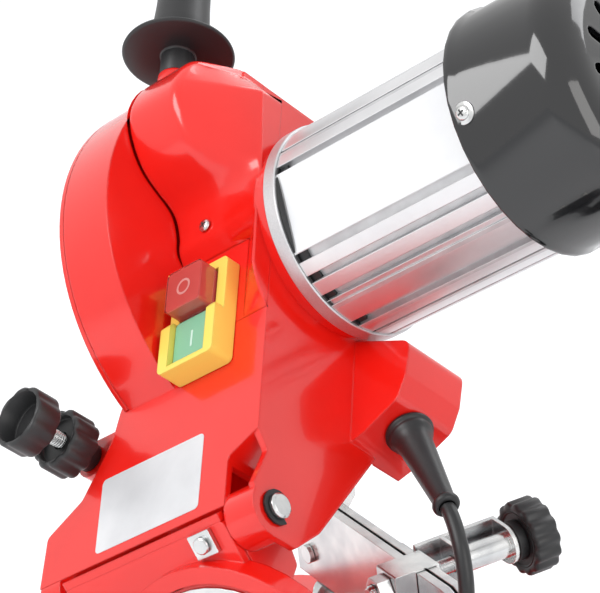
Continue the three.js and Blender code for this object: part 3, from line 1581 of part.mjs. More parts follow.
function coilPoints() {
  const reversal = coil.turns + 0.25;
  const outer = coil.inner + coil.pitch * reversal;
  const [startX, startY, floorZ] = cordFoot.at(-1);
  const centre = new THREE.Vector3(startX + outer, startY + gap + coil.lead, floorZ);
  const points = [new THREE.Vector3(startX, startY + gap, floorZ)];
  const total = 2 * reversal * coil.steps;
  for (let i = 0; i <= total; i += 1) {
    const turn = i / coil.steps;
    const climb = Math.min(Math.max(2 * (turn - coil.turns), 0), 1);
    const radius = coil.inner + coil.pitch * Math.abs(turn - reversal);
    const angle = Math.PI - 2 * Math.PI * turn;
    points.push(
      centre.clone().add(
        new THREE.Vector3(radius * Math.cos(angle), radius * Math.sin(angle), climb * coil.layer),
      ),
    );
  }
  return points;
}

const coilRoute = coilPoints();
const plugZ = plug.radius + plug.floor;

function cordCoil() {
  const last = coilRoute.at(-1);
  const rise = plugZ - last.z;
  const tail = [[0.35, 0.1], [0.65, 0.55], [0.78, 0.9], [0.8, 1], [1, 1]];
  tail.forEach(
    ([along, up]) => coilRoute.push(
      new THREE.Vector3(last.x, last.y - along * coil.tail, last.z + up * rise),
    ),
  );
  return sweep(coilRoute, half(cordDiameter), 6);
}

function mainsPlug() {
  const { x, y } = coilRoute.at(-1);
  const start = y - gap;
  const neckEnd = start - plug.neckLength;
  const face = neckEnd - plug.length;
  const body = turnedY([
    [0, face], [plug.radius - plug.edge, face], [plug.radius, face + plug.edge],
    [plug.radius, neckEnd - half(plug.neckLength)],
    [plug.neckRadius, neckEnd + plug.edge], [plug.neckRadius - plug.edge, start], [0, start],
  ], x, plugZ, 20);
  const pins = [-1, 1].map((side) => {
    const pin = chamferedRod(plug.pinRadius, face - plug.pinLength, face + overrun, plug.edge);
    return turnedY(pin, x + side * half(plug.pinSpacing), plugZ, 8);
  });
  return join(body, ...pins);
}

const cordNames = ['power_cord_upper', 'power_cord_lower', 'cord_coil', 'mains_plug'];

piece('power_cord_upper', cordAlong(cordDrop), rubber(), part);
piece('power_cord_lower', cordAlong(cordFoot), rubber(), part);
piece('cord_coil', cordCoil(), rubber(), part);
piece('mains_plug', mainsPlug(), rubber(), part);

// The least clearances of the wound forms to themselves

function leastGap(points, diameter, skip) {
  const curve = points.map((p) => p.clone());
  let least = Infinity;
  for (let i = 0; i < curve.length - 1; i += 1) {
    for (let j = i + skip; j < curve.length - 1; j += 1) {
      for (let k = 0; k <= 4; k += 1) {
        const a = curve[i].clone().lerp(curve[i + 1], k / 4);
        const b = new THREE.Line3(curve[j], curve[j + 1]).closestPointToPoint(a, true, new THREE.Vector3());
        least = Math.min(least, a.distanceTo(b));
      }
    }
  }
  return least - diameter;
}

console.log(
  'cord coil, least gap to itself in mm:',
  leastGap(coilRoute, cordDiameter, half(coil.steps)).toFixed(2),
);
console.log(
  'return spring, least gap to itself in mm:',
  leastGap(springPoints(), 2 * spring.wire, 4).toFixed(2),
);

// The origin: the middle of the footprint of all but the free cord, on the floor

const footprint = new THREE.Box3();
part.updateMatrixWorld(true);
part.traverse((node) => {
  if (node.isMesh && !cordNames.includes(node.name)) footprint.expandByObject(node, true);
});
const middle = footprint.getCenter(new THREE.Vector3());
part.position.set(-middle.x, -middle.y, 0);
part.updateMatrixWorld(true);

export default part;
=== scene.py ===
import json
import math

import bmesh
import bpy
from mathutils import Matrix, Vector


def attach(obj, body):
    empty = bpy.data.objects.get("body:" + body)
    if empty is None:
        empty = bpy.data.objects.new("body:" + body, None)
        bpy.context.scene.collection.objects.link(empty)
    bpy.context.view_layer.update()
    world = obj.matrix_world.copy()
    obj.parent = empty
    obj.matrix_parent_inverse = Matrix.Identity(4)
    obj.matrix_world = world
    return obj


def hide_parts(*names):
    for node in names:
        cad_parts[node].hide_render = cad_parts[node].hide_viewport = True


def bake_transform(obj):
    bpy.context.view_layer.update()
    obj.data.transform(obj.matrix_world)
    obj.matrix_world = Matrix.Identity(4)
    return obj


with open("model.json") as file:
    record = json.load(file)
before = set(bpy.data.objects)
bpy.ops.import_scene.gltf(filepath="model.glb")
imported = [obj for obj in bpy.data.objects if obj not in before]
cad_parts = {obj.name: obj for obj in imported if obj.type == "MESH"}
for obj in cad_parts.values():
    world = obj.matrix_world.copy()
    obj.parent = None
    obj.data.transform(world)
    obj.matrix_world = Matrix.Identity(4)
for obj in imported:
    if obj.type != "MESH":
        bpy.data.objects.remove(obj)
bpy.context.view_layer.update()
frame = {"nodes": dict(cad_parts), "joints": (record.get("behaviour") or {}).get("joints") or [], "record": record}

# Camera and studio.
# The machine stands on a white bench sweep under two soft lamps and a pale sky. The lens looks down
# past the motor at the arm's cover side, with the hinge pin in the lower half of the picture.
mm = 0.001
joints = {joint["name"]: joint for joint in frame["joints"]}
pin_end = Vector(joints["head_swing"]["pos_m"])
eye = pin_end + Vector((0.5432, -0.8959, 0.4458))
sight = Vector((-0.4857, 0.8145, -0.3173))

camera = bpy.data.objects.new("camera", bpy.data.cameras.new("camera"))
camera.location = eye
camera.rotation_euler = sight.to_track_quat("-Z", "Y").to_euler()
camera.data.sensor_width = 36
camera.data.lens = 157.2
camera.data.clip_start = 0.05
bpy.context.scene.collection.objects.link(camera)
bpy.context.scene.camera = camera
bpy.context.scene.view_settings.view_transform = "Standard"


def soft_lamp(name, place, aim, size, watts, tint):
    lamp = bpy.data.lights.new(name, "AREA")
    lamp.shape = "RECTANGLE"
    lamp.size = size[0]
    lamp.size_y = size[1]
    lamp.energy = watts
    lamp.color = tint
    holder = bpy.data.objects.new(name, lamp)
    holder.location = place
    holder.rotation_euler = (Vector(aim) - Vector(place)).to_track_quat("-Z", "Y").to_euler()
    bpy.context.scene.collection.objects.link(holder)


soft_lamp("key_lamp", (-0.9, -1.3, 1.7), (0.0, 0.0, 0.2), (1.3, 1.0), 24, (1.0, 1.0, 1.0))
soft_lamp("fill_lamp", (1.7, -0.7, 1.1), (0.0, 0.0, 0.2), (1.0, 1.4), 11, (1.0, 0.98, 0.96))
soft_lamp("back_lamp", (0.3, 1.6, 1.5), (0.0, 0.0, 0.25), (1.6, 0.8), 12, (0.97, 0.98, 1.0))


def seen_rays(tree):
    """One for rays that come from the camera, a mirror-like surface or clear plastic, else zero."""
    rays = tree.nodes.new("ShaderNodeLightPath")
    found = rays.outputs["Is Camera Ray"]
    for kind in ("Is Glossy Ray", "Is Transmission Ray"):
        either = tree.nodes.new("ShaderNodeMath")
        either.operation = "MAXIMUM"
        tree.links.new(found, either.inputs[0])
        tree.links.new(rays.outputs[kind], either.inputs[1])
        found = either.outputs[0]
    return found


sky = bpy.data.worlds.new("studio")
bpy.context.scene.world = sky
sky.use_nodes = True
sky_tree = sky.node_tree
sky_lit = sky_tree.nodes["Background"]
sky_lit.inputs["Color"].default_value = (0.93, 0.96, 1.0, 1)
sky_lit.inputs["Strength"].default_value = 0.7
sky_white = sky_tree.nodes.new("ShaderNodeBackground")
sky_white.inputs["Color"].default_value = (1, 1, 1, 1)
sky_choice = sky_tree.nodes.new("ShaderNodeMixShader")
sky_tree.links.new(seen_rays(sky_tree), sky_choice.inputs["Fac"])
sky_tree.links.new(sky_lit.outputs[0], sky_choice.inputs[1])
sky_tree.links.new(sky_white.outputs[0], sky_choice.inputs[2])
sky_tree.links.new(sky_choice.outputs[0], sky_tree.nodes["World Output"].inputs[0])

floor_mesh = bpy.data.meshes.new("bench_sweep")
floor_reach = 9
floor_drop = 0.0005
floor_signs = ((-1, -1), (1, -1), (1, 1), (-1, 1))
floor_corners = [(x * floor_reach, y * floor_reach, -floor_drop) for x, y in floor_signs]
floor_mesh.from_pydata(floor_corners, [], [(0, 1, 2, 3)])
floor = bpy.data.objects.new("bench_sweep", floor_mesh)
bpy.context.scene.collection.objects.link(floor)
floor_paint = bpy.data.materials.new("bench_white")
floor_paint.use_nodes = True
floor_tree = floor_paint.node_tree
floor_skin = floor_tree.nodes["Principled BSDF"]
floor_skin.inputs["Base Color"].default_value = (0.82, 0.82, 0.82, 1)
floor_skin.inputs["Roughness"].default_value = 0.8
floor_skin.inputs["Emission Color"].default_value = (1, 1, 1, 1)
lift = floor_tree.nodes.new("ShaderNodeMath")
lift.operation = "MULTIPLY"
lift.inputs[1].default_value = 0.3
floor_tree.links.new(seen_rays(floor_tree), lift.inputs[0])
floor_tree.links.new(lift.outputs[0], floor_skin.inputs["Emission Strength"])
floor_mesh.materials.append(floor_paint)


# Mains cord.
# A black rubber cord leaves the strain relief, drops beside the base and lies in a neat coil of two
# layers on the bench. Both its stretches and the plug stay put.
cord_diameter = 7.2 * mm
origin_shift = Vector((-0.92169956, -19.75170847, 0)) * mm


def placed(points):
    return [Vector(p) * mm + origin_shift for p in points]


def finish_node(name, colour, roughness, metallic=0.0):
    """A Principled finish whose small-scale detail the sections below add."""
    material = bpy.data.materials.new(name)
    material.use_nodes = True
    skin = material.node_tree.nodes["Principled BSDF"]
    skin.inputs["Base Color"].default_value = (*colour, 1)
    skin.inputs["Roughness"].default_value = roughness
    skin.inputs["Metallic"].default_value = metallic
    return material, skin


def grain(material, skin, size, depth, round_edge=0.0, stretch=(1, 1, 1), detail=3):
    """Fine relief of that size and depth in metres, over edges rounded by round_edge."""
    tree = material.node_tree
    place = tree.nodes.new("ShaderNodeTexCoord")
    turn = tree.nodes.new("ShaderNodeMapping")
    turn.inputs["Scale"].default_value = stretch
    speckle = tree.nodes.new("ShaderNodeTexNoise")
    speckle.inputs["Scale"].default_value = 1 / size
    speckle.inputs["Detail"].default_value = detail
    relief = tree.nodes.new("ShaderNodeBump")
    relief.inputs["Distance"].default_value = depth
    relief.inputs["Strength"].default_value = 1
    tree.links.new(place.outputs["Object"], turn.inputs["Vector"])
    tree.links.new(turn.outputs[0], speckle.inputs["Vector"])
    tree.links.new(speckle.outputs["Fac"], relief.inputs["Height"])
    if round_edge:
        edge = tree.nodes.new("ShaderNodeBevel")
        edge.samples = 6
        edge.inputs["Radius"].default_value = round_edge
        tree.links.new(edge.outputs[0], relief.inputs["Normal"])
    tree.links.new(relief.outputs[0], skin.inputs["Normal"])
    return speckle


def tinted(material, skin, low, high, size, stretch=(1, 1, 1)):
    """Lets the colour drift between two shades over patches of that size in metres."""
    tree = material.node_tree
    place = tree.nodes.new("ShaderNodeTexCoord")
    turn = tree.nodes.new("ShaderNodeMapping")
    turn.inputs["Scale"].default_value = stretch
    cloud = tree.nodes.new("ShaderNodeTexNoise")
    cloud.inputs["Scale"].default_value = 1 / size
    cloud.inputs["Detail"].default_value = 4
    ramp = tree.nodes.new("ShaderNodeValToRGB")
    ramp.color_ramp.elements[0].position = 0.35
    ramp.color_ramp.elements[0].color = (*low, 1)
    ramp.color_ramp.elements[1].position = 0.65
    ramp.color_ramp.elements[1].color = (*high, 1)
    tree.links.new(place.outputs["Object"], turn.inputs["Vector"])
    tree.links.new(turn.outputs[0], cloud.inputs["Vector"])
    tree.links.new(cloud.outputs["Fac"], ramp.inputs["Fac"])
    tree.links.new(ramp.outputs["Color"], skin.inputs["Base Color"])


def piece_from(name, verts, faces, material, body, smooth_under=35):
    """A mesh piece whose shading is smooth over edges that turn less than smooth_under degrees."""
    mesh = bpy.data.meshes.new(name)
    mesh.from_pydata([tuple(v) for v in verts], [], faces)
    piece = bpy.data.objects.new(name, mesh)
    bpy.context.scene.collection.objects.link(piece)
    settle(mesh, smooth_under)
    mesh.materials.append(material)
    if body:
        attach(piece, body)
    return piece


def settle(mesh, smooth_under):
    work = bmesh.new()
    work.from_mesh(mesh)
    bmesh.ops.remove_doubles(work, verts=work.verts, dist=1e-6)
    bmesh.ops.recalc_face_normals(work, faces=work.faces)
    for face in work.faces:
        face.smooth = True
    limit = math.radians(smooth_under)
    for edge in work.edges:
        edge.smooth = len(edge.link_faces) == 2 and edge.calc_face_angle(0) < limit
    work.to_mesh(mesh)
    work.free()


def cord_tube(name, points, radius, sides, material, body=None):
    """A round tube through the points, whose rings turn as little as they can."""
    verts = []
    faces = []
    normal = Vector((1, 0, 0))
    if abs((points[1] - points[0]).normalized().x) > 0.9:
        normal = Vector((0, 1, 0))
    for i, point in enumerate(points):
        ahead = points[min(i + 1, len(points) - 1)] - points[max(i - 1, 0)]
        ahead.normalize()
        normal = (normal - ahead * normal.dot(ahead)).normalized()
        side = ahead.cross(normal)
        for k in range(sides):
            angle = 2 * math.pi * k / sides
            verts.append(point + radius * (normal * math.cos(angle) + side * math.sin(angle)))
    for i in range(len(points) - 1):
        for k in range(sides):
            n = (k + 1) % sides
            faces.append((i * sides + k, i * sides + n, (i + 1) * sides + n, (i + 1) * sides + k))
    last = (len(points) - 1) * sides
    faces.append(tuple(reversed(range(sides))))
    faces.append(tuple(last + k for k in range(sides)))
    return piece_from(name, verts, faces, material, body)


def smooth_line(points, steps):
    """Centripetal curve through given points, the same line that the solid follows."""
    curve = []
    count = len(points)
    for i in range(count - 1):
        p0 = points[i - 1] if i else points[0] + (points[0] - points[1])
        p1 = points[i]
        p2 = points[i + 1]
        p3 = points[i + 2] if i + 2 < count else points[-1] + (points[-1] - points[-2])
        t = [0.0]
        for a, b in ((p0, p1), (p1, p2), (p2, p3)):
            t.append(t[-1] + max((b - a).length, 1e-9) ** 0.5)
        for s in range(steps):
            u = t[1] + (t[2] - t[1]) * s / steps
            a1 = p0 * ((t[1] - u) / (t[1] - t[0])) + p1 * ((u - t[0]) / (t[1] - t[0]))
            a2 = p1 * ((t[2] - u) / (t[2] - t[1])) + p2 * ((u - t[1]) / (t[2] - t[1]))
            a3 = p2 * ((t[3] - u) / (t[3] - t[2])) + p3 * ((u - t[2]) / (t[3] - t[2]))
            b1 = a1 * ((t[2] - u) / (t[2] - t[0])) + a2 * ((u - t[0]) / (t[2] - t[0]))
            b2 = a2 * ((t[3] - u) / (t[3] - t[1])) + a3 * ((u - t[1]) / (t[3] - t[1]))
            curve.append(b1 * ((t[2] - u) / (t[2] - t[1])) + b2 * ((u - t[1]) / (t[2] - t[1])))
    curve.append(points[-1].copy())
    return curve


cord_rubber, cord_skin = finish_node("cord_rubber", (0.012, 0.012, 0.013), 0.42)
grain(cord_rubber, cord_skin, 0.0012, 0.00004)

drop_points = placed([
    (93.1, -21.8, 157.8), (97.3, -25.6, 155.4), (101.2, -29.1, 151.9), (105.1, -32.7, 147.2),
    (108.1, -35.4, 142.0), (111.2, -38.3, 133.5), (112.7, -39.7, 122.0), (112.9, -39.8, 105.0),
    (112.9, -39.8, 80.0), (112.9, -39.8, 60.2),
])
foot_points = placed([
    (112.9, -39.8, 59.9), (112.9, -39.8, 50.0), (112.9, -39.8, 36.0), (112.9, -36.8, 22.0),
    (112.9, -28.6, 10.2), (112.9, -17.6, 4.6), (112.9, -8.0, 3.8), (112.9, -4.3, 3.8),
])
coil_turns = 3
coil_pitch = 7.9 * mm
coil_layer = 7.7 * mm
coil_inner = 29 * mm
coil_lead = 9 * mm
coil_tail = 34 * mm
plug_axis = 18.3 * mm
reversal = coil_turns + 0.25
coil_outer = coil_inner + coil_pitch * reversal
coil_start = foot_points[-1] + Vector((0, 0.3 * mm, 0))
coil_centre = coil_start + Vector((coil_outer, coil_lead, 0))
coil_line = [coil_start]
coil_steps = 40
for i in range(round(2 * reversal * coil_steps) + 1):
    turn = i / coil_steps
    climb = min(max(2 * (turn - coil_turns), 0), 1)
    radius = coil_inner + coil_pitch * abs(turn - reversal)
    angle = math.pi - 2 * math.pi * turn
    around = Vector((radius * math.cos(angle), radius * math.sin(angle), climb * coil_layer))
    coil_line.append(coil_centre + around)
coil_end = coil_line[-1].copy()
for along, up in ((0.2, 0.03), (0.35, 0.1), (0.5, 0.3), (0.65, 0.55), (0.78, 0.9), (0.8, 1), (1, 1)):
    coil_line.append(coil_end + Vector((0, -along * coil_tail, up * (plug_axis - coil_end.z))))


upper_line = smooth_line(drop_points, 6)
lower_line = smooth_line(foot_points, 6) + coil_line
upper_cord = cord_tube("cord_upper", upper_line, cord_diameter / 2, 14, cord_rubber)
lower_cord = cord_tube("cord_lower", lower_line, cord_diameter / 2, 14, cord_rubber)
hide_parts("power_cord_upper")
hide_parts("power_cord_lower", "cord_coil")


# Mains plug.
# A moulded rubber plug body with two nickel pins, which lies on the bench at the coil's side.
# Its tail sleeve takes the cord's end in line with the body.


def place_on(origin, along, across):
    """A matrix that sets a piece's z along a direction and its x near another."""
    z = Vector(along).normalized()
    x = (Vector(across) - z * Vector(across).dot(z)).normalized()
    y = z.cross(x)
    return Matrix.Translation(origin) @ Matrix((x, y, z)).transposed().to_4x4()


def lathe_mesh(profile, sides, at):
    """Rings of [radius, height] about the z of a placement, closed on the axis at zero radius."""
    verts = []
    faces = []
    rings = []
    for radius, height in profile:
        if radius < 1e-7:
            rings.append([len(verts)])
            verts.append(at @ Vector((0, 0, height)))
            continue
        rings.append(list(range(len(verts), len(verts) + sides)))
        for k in range(sides):
            angle = 2 * math.pi * k / sides
            verts.append(at @ Vector((radius * math.cos(angle), radius * math.sin(angle), height)))
    for low, high in zip(rings, rings[1:]):
        for k in range(sides):
            n = (k + 1) % sides
            ring = [low[k % len(low)], low[n % len(low)], high[n % len(high)], high[k % len(high)]]
            kept = list(dict.fromkeys(ring))
            if len(kept) > 2:
                faces.append(tuple(kept))
    return verts, faces


def joined(*parts):
    verts = []
    faces = []
    for part_verts, part_faces in parts:
        start = len(verts)
        verts.extend(part_verts)
        faces.extend(tuple(start + i for i in face) for face in part_faces)
    return verts, faces


plug_start = coil_line[-1] + Vector((0, -0.3 * mm, 0))
plug_at = place_on(plug_start, (0, -1, 0), (1, 0, 0))
plug_rubber, plug_skin = finish_node("plug_rubber", (0.014, 0.014, 0.015), 0.5)
grain(plug_rubber, plug_skin, 0.0009, 0.00005, 0.0008)
neck = [(0, 0), (7, 0)]
for i in range(4):
    rib, groove = 7.1 + 0.2 * i, 6.3 + 0.2 * i
    neck += [(rib, 1 + 2 * i), (rib, 2.2 + 2 * i), (groove, 2.4 + 2 * i), (groove, 2.9 + 2 * i)]
body_profile = neck + [(8, 10), (17.2, 16), (17.9, 20), (18, 24), (17.4, 26)]
body_profile += [(17.4, 44), (18, 46), (18, 50.5), (17.3, 52), (0, 52)]
plug_body = piece_from(
    "plug_body", *lathe_mesh([(r * mm, h * mm) for r, h in body_profile], 48, plug_at), plug_rubber, "base"
)
pin_nickel, pin_skin = finish_node("pin_nickel", (0.72, 0.7, 0.66), 0.22, 1.0)
grain(pin_nickel, pin_skin, 0.0006, 0.00001)
pin_spread = 9.5
pin_profile = [(0, 51), (2.4, 51), (2.4, 69.5), (1.6, 71), (0, 71)]
pins = []
for side in (-1, 1):
    at = plug_at @ Matrix.Translation((side * pin_spread * mm, 0, 0))
    pins.append(lathe_mesh([(r * mm, h * mm) for r, h in pin_profile], 20, at))
plug_pins = piece_from("plug_pins", *joined(*pins), pin_nickel, "base")
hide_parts("mains_plug")

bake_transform(upper_cord)
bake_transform(lower_cord)


# Castings in red paint: base, tilt bracket and guard cover.
# Aluminium castings, powder coated in a bright gloss red, with the soft edges and faint orange
# peel of thick paint.
red_paint, red_skin = finish_node("red_paint", (0.84, 0.012, 0.006), 0.22)
red_skin.inputs["Coat Weight"].default_value = 0.5
red_skin.inputs["Coat Roughness"].default_value = 0.05
tinted(red_paint, red_skin, (0.81, 0.010, 0.005), (0.87, 0.014, 0.008), 0.05)
grain(red_paint, red_skin, 0.0032, 0.00003, 0.0014, detail=1)


def dressed(node, material, body, smooth_under=32):
    """The node's own shape with welded corners and smooth shading, in its place."""
    source = frame["nodes"][node]
    mesh = source.data.copy()
    mesh.name = node + "_skin"
    piece = bpy.data.objects.new(node + "_skin", mesh)
    bpy.context.scene.collection.objects.link(piece)
    for key in list(piece.keys()):
        del piece[key]
    mesh.materials.clear()
    mesh.materials.append(material)
    work = bmesh.new()
    work.from_mesh(mesh)
    bmesh.ops.remove_doubles(work, verts=work.verts, dist=2e-6)
    for face in work.faces:
        face.smooth = True
        face.material_index = 0
    limit = math.radians(smooth_under)
    for edge in work.edges:
        edge.smooth = len(edge.link_faces) == 2 and edge.calc_face_angle(0) < limit
    work.to_mesh(mesh)
    work.free()
    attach(piece, body)
    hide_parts(node)
    return piece


bodies = frame["record"]["behaviour"]["bodies"]
body_of_node = {node: body for body, nodes in bodies.items() for node in nodes}
slot_of_node = {row["node"]: row["material_slot"] for row in frame["record"]["subparts"]}


def nodes_in(slot, apart=()):
    """The nodes of a material slot, in the record's order, but for those that are drawn apart."""
    return [node for node, name in slot_of_node.items() if name == slot and node not in apart]


def dress_all(nodes, material, smooth_under=32):
    for node in nodes:
        piece = dressed(node, material, body_of_node[node], smooth_under)


dress_all(["base_casting", "tilt_bracket", "wheel_cover"], red_paint)


# Bright steel: rails, clamp, pins, plates and screws.
# Cold-rolled steel with bright zinc plating, faintly clouded.
zinc, zinc_skin = finish_node("zinc_plate", (0.66, 0.67, 0.68), 0.24, 1.0)
tinted(zinc, zinc_skin, (0.52, 0.53, 0.54), (0.74, 0.74, 0.73), 0.02)
grain(zinc, zinc_skin, 0.0015, 0.00002, 0.0006)
steel, steel_skin = finish_node("ground_steel", (0.45, 0.45, 0.46), 0.3, 1.0)
grain(steel, steel_skin, 0.001, 0.00002, 0.0004)
circlips = ["circlip_near", "circlip_far"]
dress_all(nodes_in("zinc", ("stop_stud", "clamp_screw")), zinc)
dress_all(nodes_in("steel", circlips + ["return_spring"]), steel)
clip_black, clip_skin = finish_node("phosphated_steel", (0.035, 0.035, 0.037), 0.35, 0.6)
grain(clip_black, clip_skin, 0.0006, 0.00002, 0.0003)
dress_all(circlips, clip_black)


# Motor: windings, end shield and the finishes of its housing and cap.
# Blasted aluminium round a copper winding, under a deep-drawn gloss black cap. The housing, its
# flange ring and the cap are drawn in sections of their own.
alloy, alloy_skin = finish_node("blasted_alloy", (0.74, 0.74, 0.75), 0.38, 0.92)
tinted(alloy, alloy_skin, (0.70, 0.70, 0.71), (0.77, 0.77, 0.78), 0.03)
grain(alloy, alloy_skin, 0.0007, 0.00002, 0.0004)
dress_all(nodes_in("aluminium", ("motor_body", "motor_flange_ring")), alloy)
winding, winding_skin = finish_node("copper_winding", (0.55, 0.24, 0.10), 0.4, 0.8)
grain(winding, winding_skin, 0.0008, 0.0002)
dress_all(["stator"], winding)
cap_black, cap_skin = finish_node("cap_black", (0.008, 0.008, 0.009), 0.1)
cap_skin.inputs["Coat Weight"].default_value = 0.6
cap_skin.inputs["Coat Roughness"].default_value = 0.03
grain(cap_black, cap_skin, 0.006, 0.00002, 0.0012, detail=1)


# Grinding wheel.
# Pink fused-alumina grit in a resin bond, dressed flat.
grit, grit_skin = finish_node("pink_grit", (0.62, 0.30, 0.24), 0.9)
tinted(grit, grit_skin, (0.50, 0.22, 0.18), (0.74, 0.42, 0.36), 0.0009)
grain(grit, grit_skin, 0.0005, 0.0002)
dress_all(["grinding_wheel"], grit)


# Switch: yellow frame, red stop key and green start key.
# Injection-moulded frame in safety yellow with two rocker keys.
yellow, yellow_skin = finish_node("switch_yellow", (0.93, 0.74, 0.13), 0.34)
grain(yellow, yellow_skin, 0.0008, 0.00002, 0.0008)
dress_all(["switch_frame"], yellow)
stop_red, stop_skin = finish_node("stop_red", (0.66, 0.10, 0.09), 0.18)
stop_skin.inputs["Coat Weight"].default_value = 0.8
grain(stop_red, stop_skin, 0.002, 0.00001, 0.0008)
dress_all(["stop_button"], stop_red)
start_green, start_skin = finish_node("start_green", (0.24, 0.56, 0.36), 0.35)
grain(start_green, start_skin, 0.0009, 0.00002, 0.0008)
dress_all(["start_button"], start_green)


# Knobs, handle, fan and covers in black plastic.
# Glass-filled nylon with the satin skin that its mould leaves.
nylon, nylon_skin = finish_node("black_nylon", (0.018, 0.018, 0.019), 0.42)
grain(nylon, nylon_skin, 0.0007, 0.00005, 0.0007)
remade = ("handle", "depth_knob", "stop_lock_knob", "clamp_knob")
dress_all(nodes_in("black_plastic", remade), nylon)


# Frames of the moving parts.
# The head's frame has x along the hinge pin, y from the cover side and z along the arm; the tilt
# frame shares its x, with y level; the vise's frame has x along the rails and y along the clamp.


def joint_frame(origin, x, y):
    x = Vector(x).normalized()
    y = (Vector(y) - x * Vector(y).dot(x)).normalized()
    return Matrix.Translation(Vector(origin)) @ Matrix((x, y, x.cross(y))).transposed().to_4x4()


swing = joints["head_swing"]
head_at = joint_frame(pin_end, -Vector(swing["axis"]), joints["stop_press"]["axis"])
tilt_at = joint_frame(pin_end, -Vector(swing["axis"]), (0, 1, 0))
vise_at = joint_frame(joints["vise_tilt"]["pos_m"], joints["vise_tilt"]["axis"], joints["clamp_turn"]["axis"])


def along_x(frame_at, y, z, x=0.0):
    """A placement at (x, y, z) mm whose own z runs along the frame's x."""
    turn = Matrix(((0, 0, 1), (1, 0, 0), (0, 1, 0))).to_4x4()
    return frame_at @ Matrix.Translation((x * mm, y * mm, z * mm)) @ turn


def along_y(frame_at, x, z, y=0.0):
    turn = Matrix(((0, 1, 0), (0, 0, 1), (1, 0, 0))).to_4x4()
    return frame_at @ Matrix.Translation((x * mm, y * mm, z * mm)) @ turn


def along_z(frame_at, x, y, z=0.0):
    return frame_at @ Matrix.Translation((x * mm, y * mm, z * mm))


def turned(name, profile, at, material, body, sides=64, smooth_under=40):
    scaled = [(r * mm, h * mm) for r, h in profile]
    return piece_from(name, *lathe_mesh(scaled, sides, at), material, body, smooth_under)


# Return spring.
# A torsion spring of drawn steel wire round the hinge pin, wound in nine coils. Its lower leg bears on
# the tilt bracket; the last coil and the upper leg turn with the arm that they push up.
wire_radius = 1.1
winding_radius = 7.9
winding_pitch = 3
winding_from = -92
lower_leg = 24
upper_leg = 22
lower_turn = 17.5 * math.pi
upper_turn = math.pi
head_lean = (tilt_at.to_3x3() @ Vector((0, 0, 1))).angle(head_at.to_3x3() @ Vector((0, 0, 1)))
whole_turn = 18 * math.pi + head_lean


def winding_point(turned_so_far, lead, at):
    """A point of the spring's centre line that far round, in metres."""
    x = winding_from + winding_pitch * turned_so_far / (2 * math.pi)
    angle = math.pi - turned_so_far + lead
    return at @ (Vector((x, winding_radius * math.cos(angle), winding_radius * math.sin(angle))) * mm)


lower_wire = [tilt_at @ (Vector((winding_from, -winding_radius, -lower_leg)) * mm)]
lower_wire += [winding_point(lower_turn * i / 140, 0, tilt_at) for i in range(141)]
upper_wire = [winding_point(whole_turn - upper_turn * (1 - i / 10), head_lean, head_at) for i in range(11)]
wire_end = winding_from + winding_pitch * whole_turn / (2 * math.pi)
upper_wire.append(head_at @ (Vector((wire_end, -winding_radius, upper_leg)) * mm))
spring_coils = cord_tube("spring_coils", lower_wire, wire_radius * mm, 10, steel, "bracket")
spring_arm = cord_tube("spring_arm", upper_wire, wire_radius * mm, 10, steel, "head")
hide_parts("return_spring")


# Spindle lobe of the head casting.
# The nose over the spindle's inner bearing: an S-shaped front with a rounded rim, whose right side
# runs out to the motor seat. It is one casting with the head; the handle's boss stands on its top.
lobe_left = -62
lobe_rim = -29
lobe_crease = -19
rim_radius = 3.2
lobe_front = [
    (-14.1, 146), (-20.6, 153.4), (-21.5, 161.8), (-24.8, 171.1), (-29.4, 175.8),
    (-38.3, 180.4), (-47.2, 186), (-54.2, 194.4), (-59.4, 205.5), (-60.8, 214.8),
    (-57.5, 226.9), (-51.4, 236.2), (-46.8, 239),
]
foot_heights = (100, 104, 108, 114, 120, 126, 132, 138, 143)
seat_rise = [(-14.1, 100), (-20, 108), (-25, 118), (-25.4, 150), (-24.6, 172), (-28, 217), (-28, 239)]
arm_face = -14
casting_right = -3.9
chamfer_low = 219.5
chamfer_high = 235.5
chamfer_slope = 0.875


def read_at(table, height):
    """The y at that height, on straight lines between a table's points [y, z]."""
    for (y0, z0), (y1, z1) in zip(table, table[1:]):
        if z0 <= height <= z1:
            return y0 + (y1 - y0) * (height - z0) / (z1 - z0)
    return table[0][0] if height < table[0][1] else table[-1][0]


def casting_without_lobe():
    """The casting's own shape with its nose cut off at the arm's face; the guard's wall stays."""
    casting = dressed("head_casting", red_paint, "head")
    trim = bmesh.new()
    trim.from_mesh(casting.data)
    cut_at = head_at @ (Vector((0, arm_face - 0.02, 0)) * mm)
    out_of_face = head_at.to_3x3() @ Vector((0, -1, 0))
    parts = trim.verts[:] + trim.edges[:] + trim.faces[:]
    bmesh.ops.bisect_plane(trim, geom=parts, plane_co=cut_at, plane_no=out_of_face)
    to_head = head_at.inverted()
    ahead = []
    for face in trim.faces:
        middle = to_head @ face.calc_center_median() / mm
        if middle.y < arm_face - 0.03 and middle.x > lobe_left + 0.1:
            ahead.append(face)
    bmesh.ops.delete(trim, geom=ahead, context="FACES")
    trim.to_mesh(casting.data)
    trim.free()
    return casting


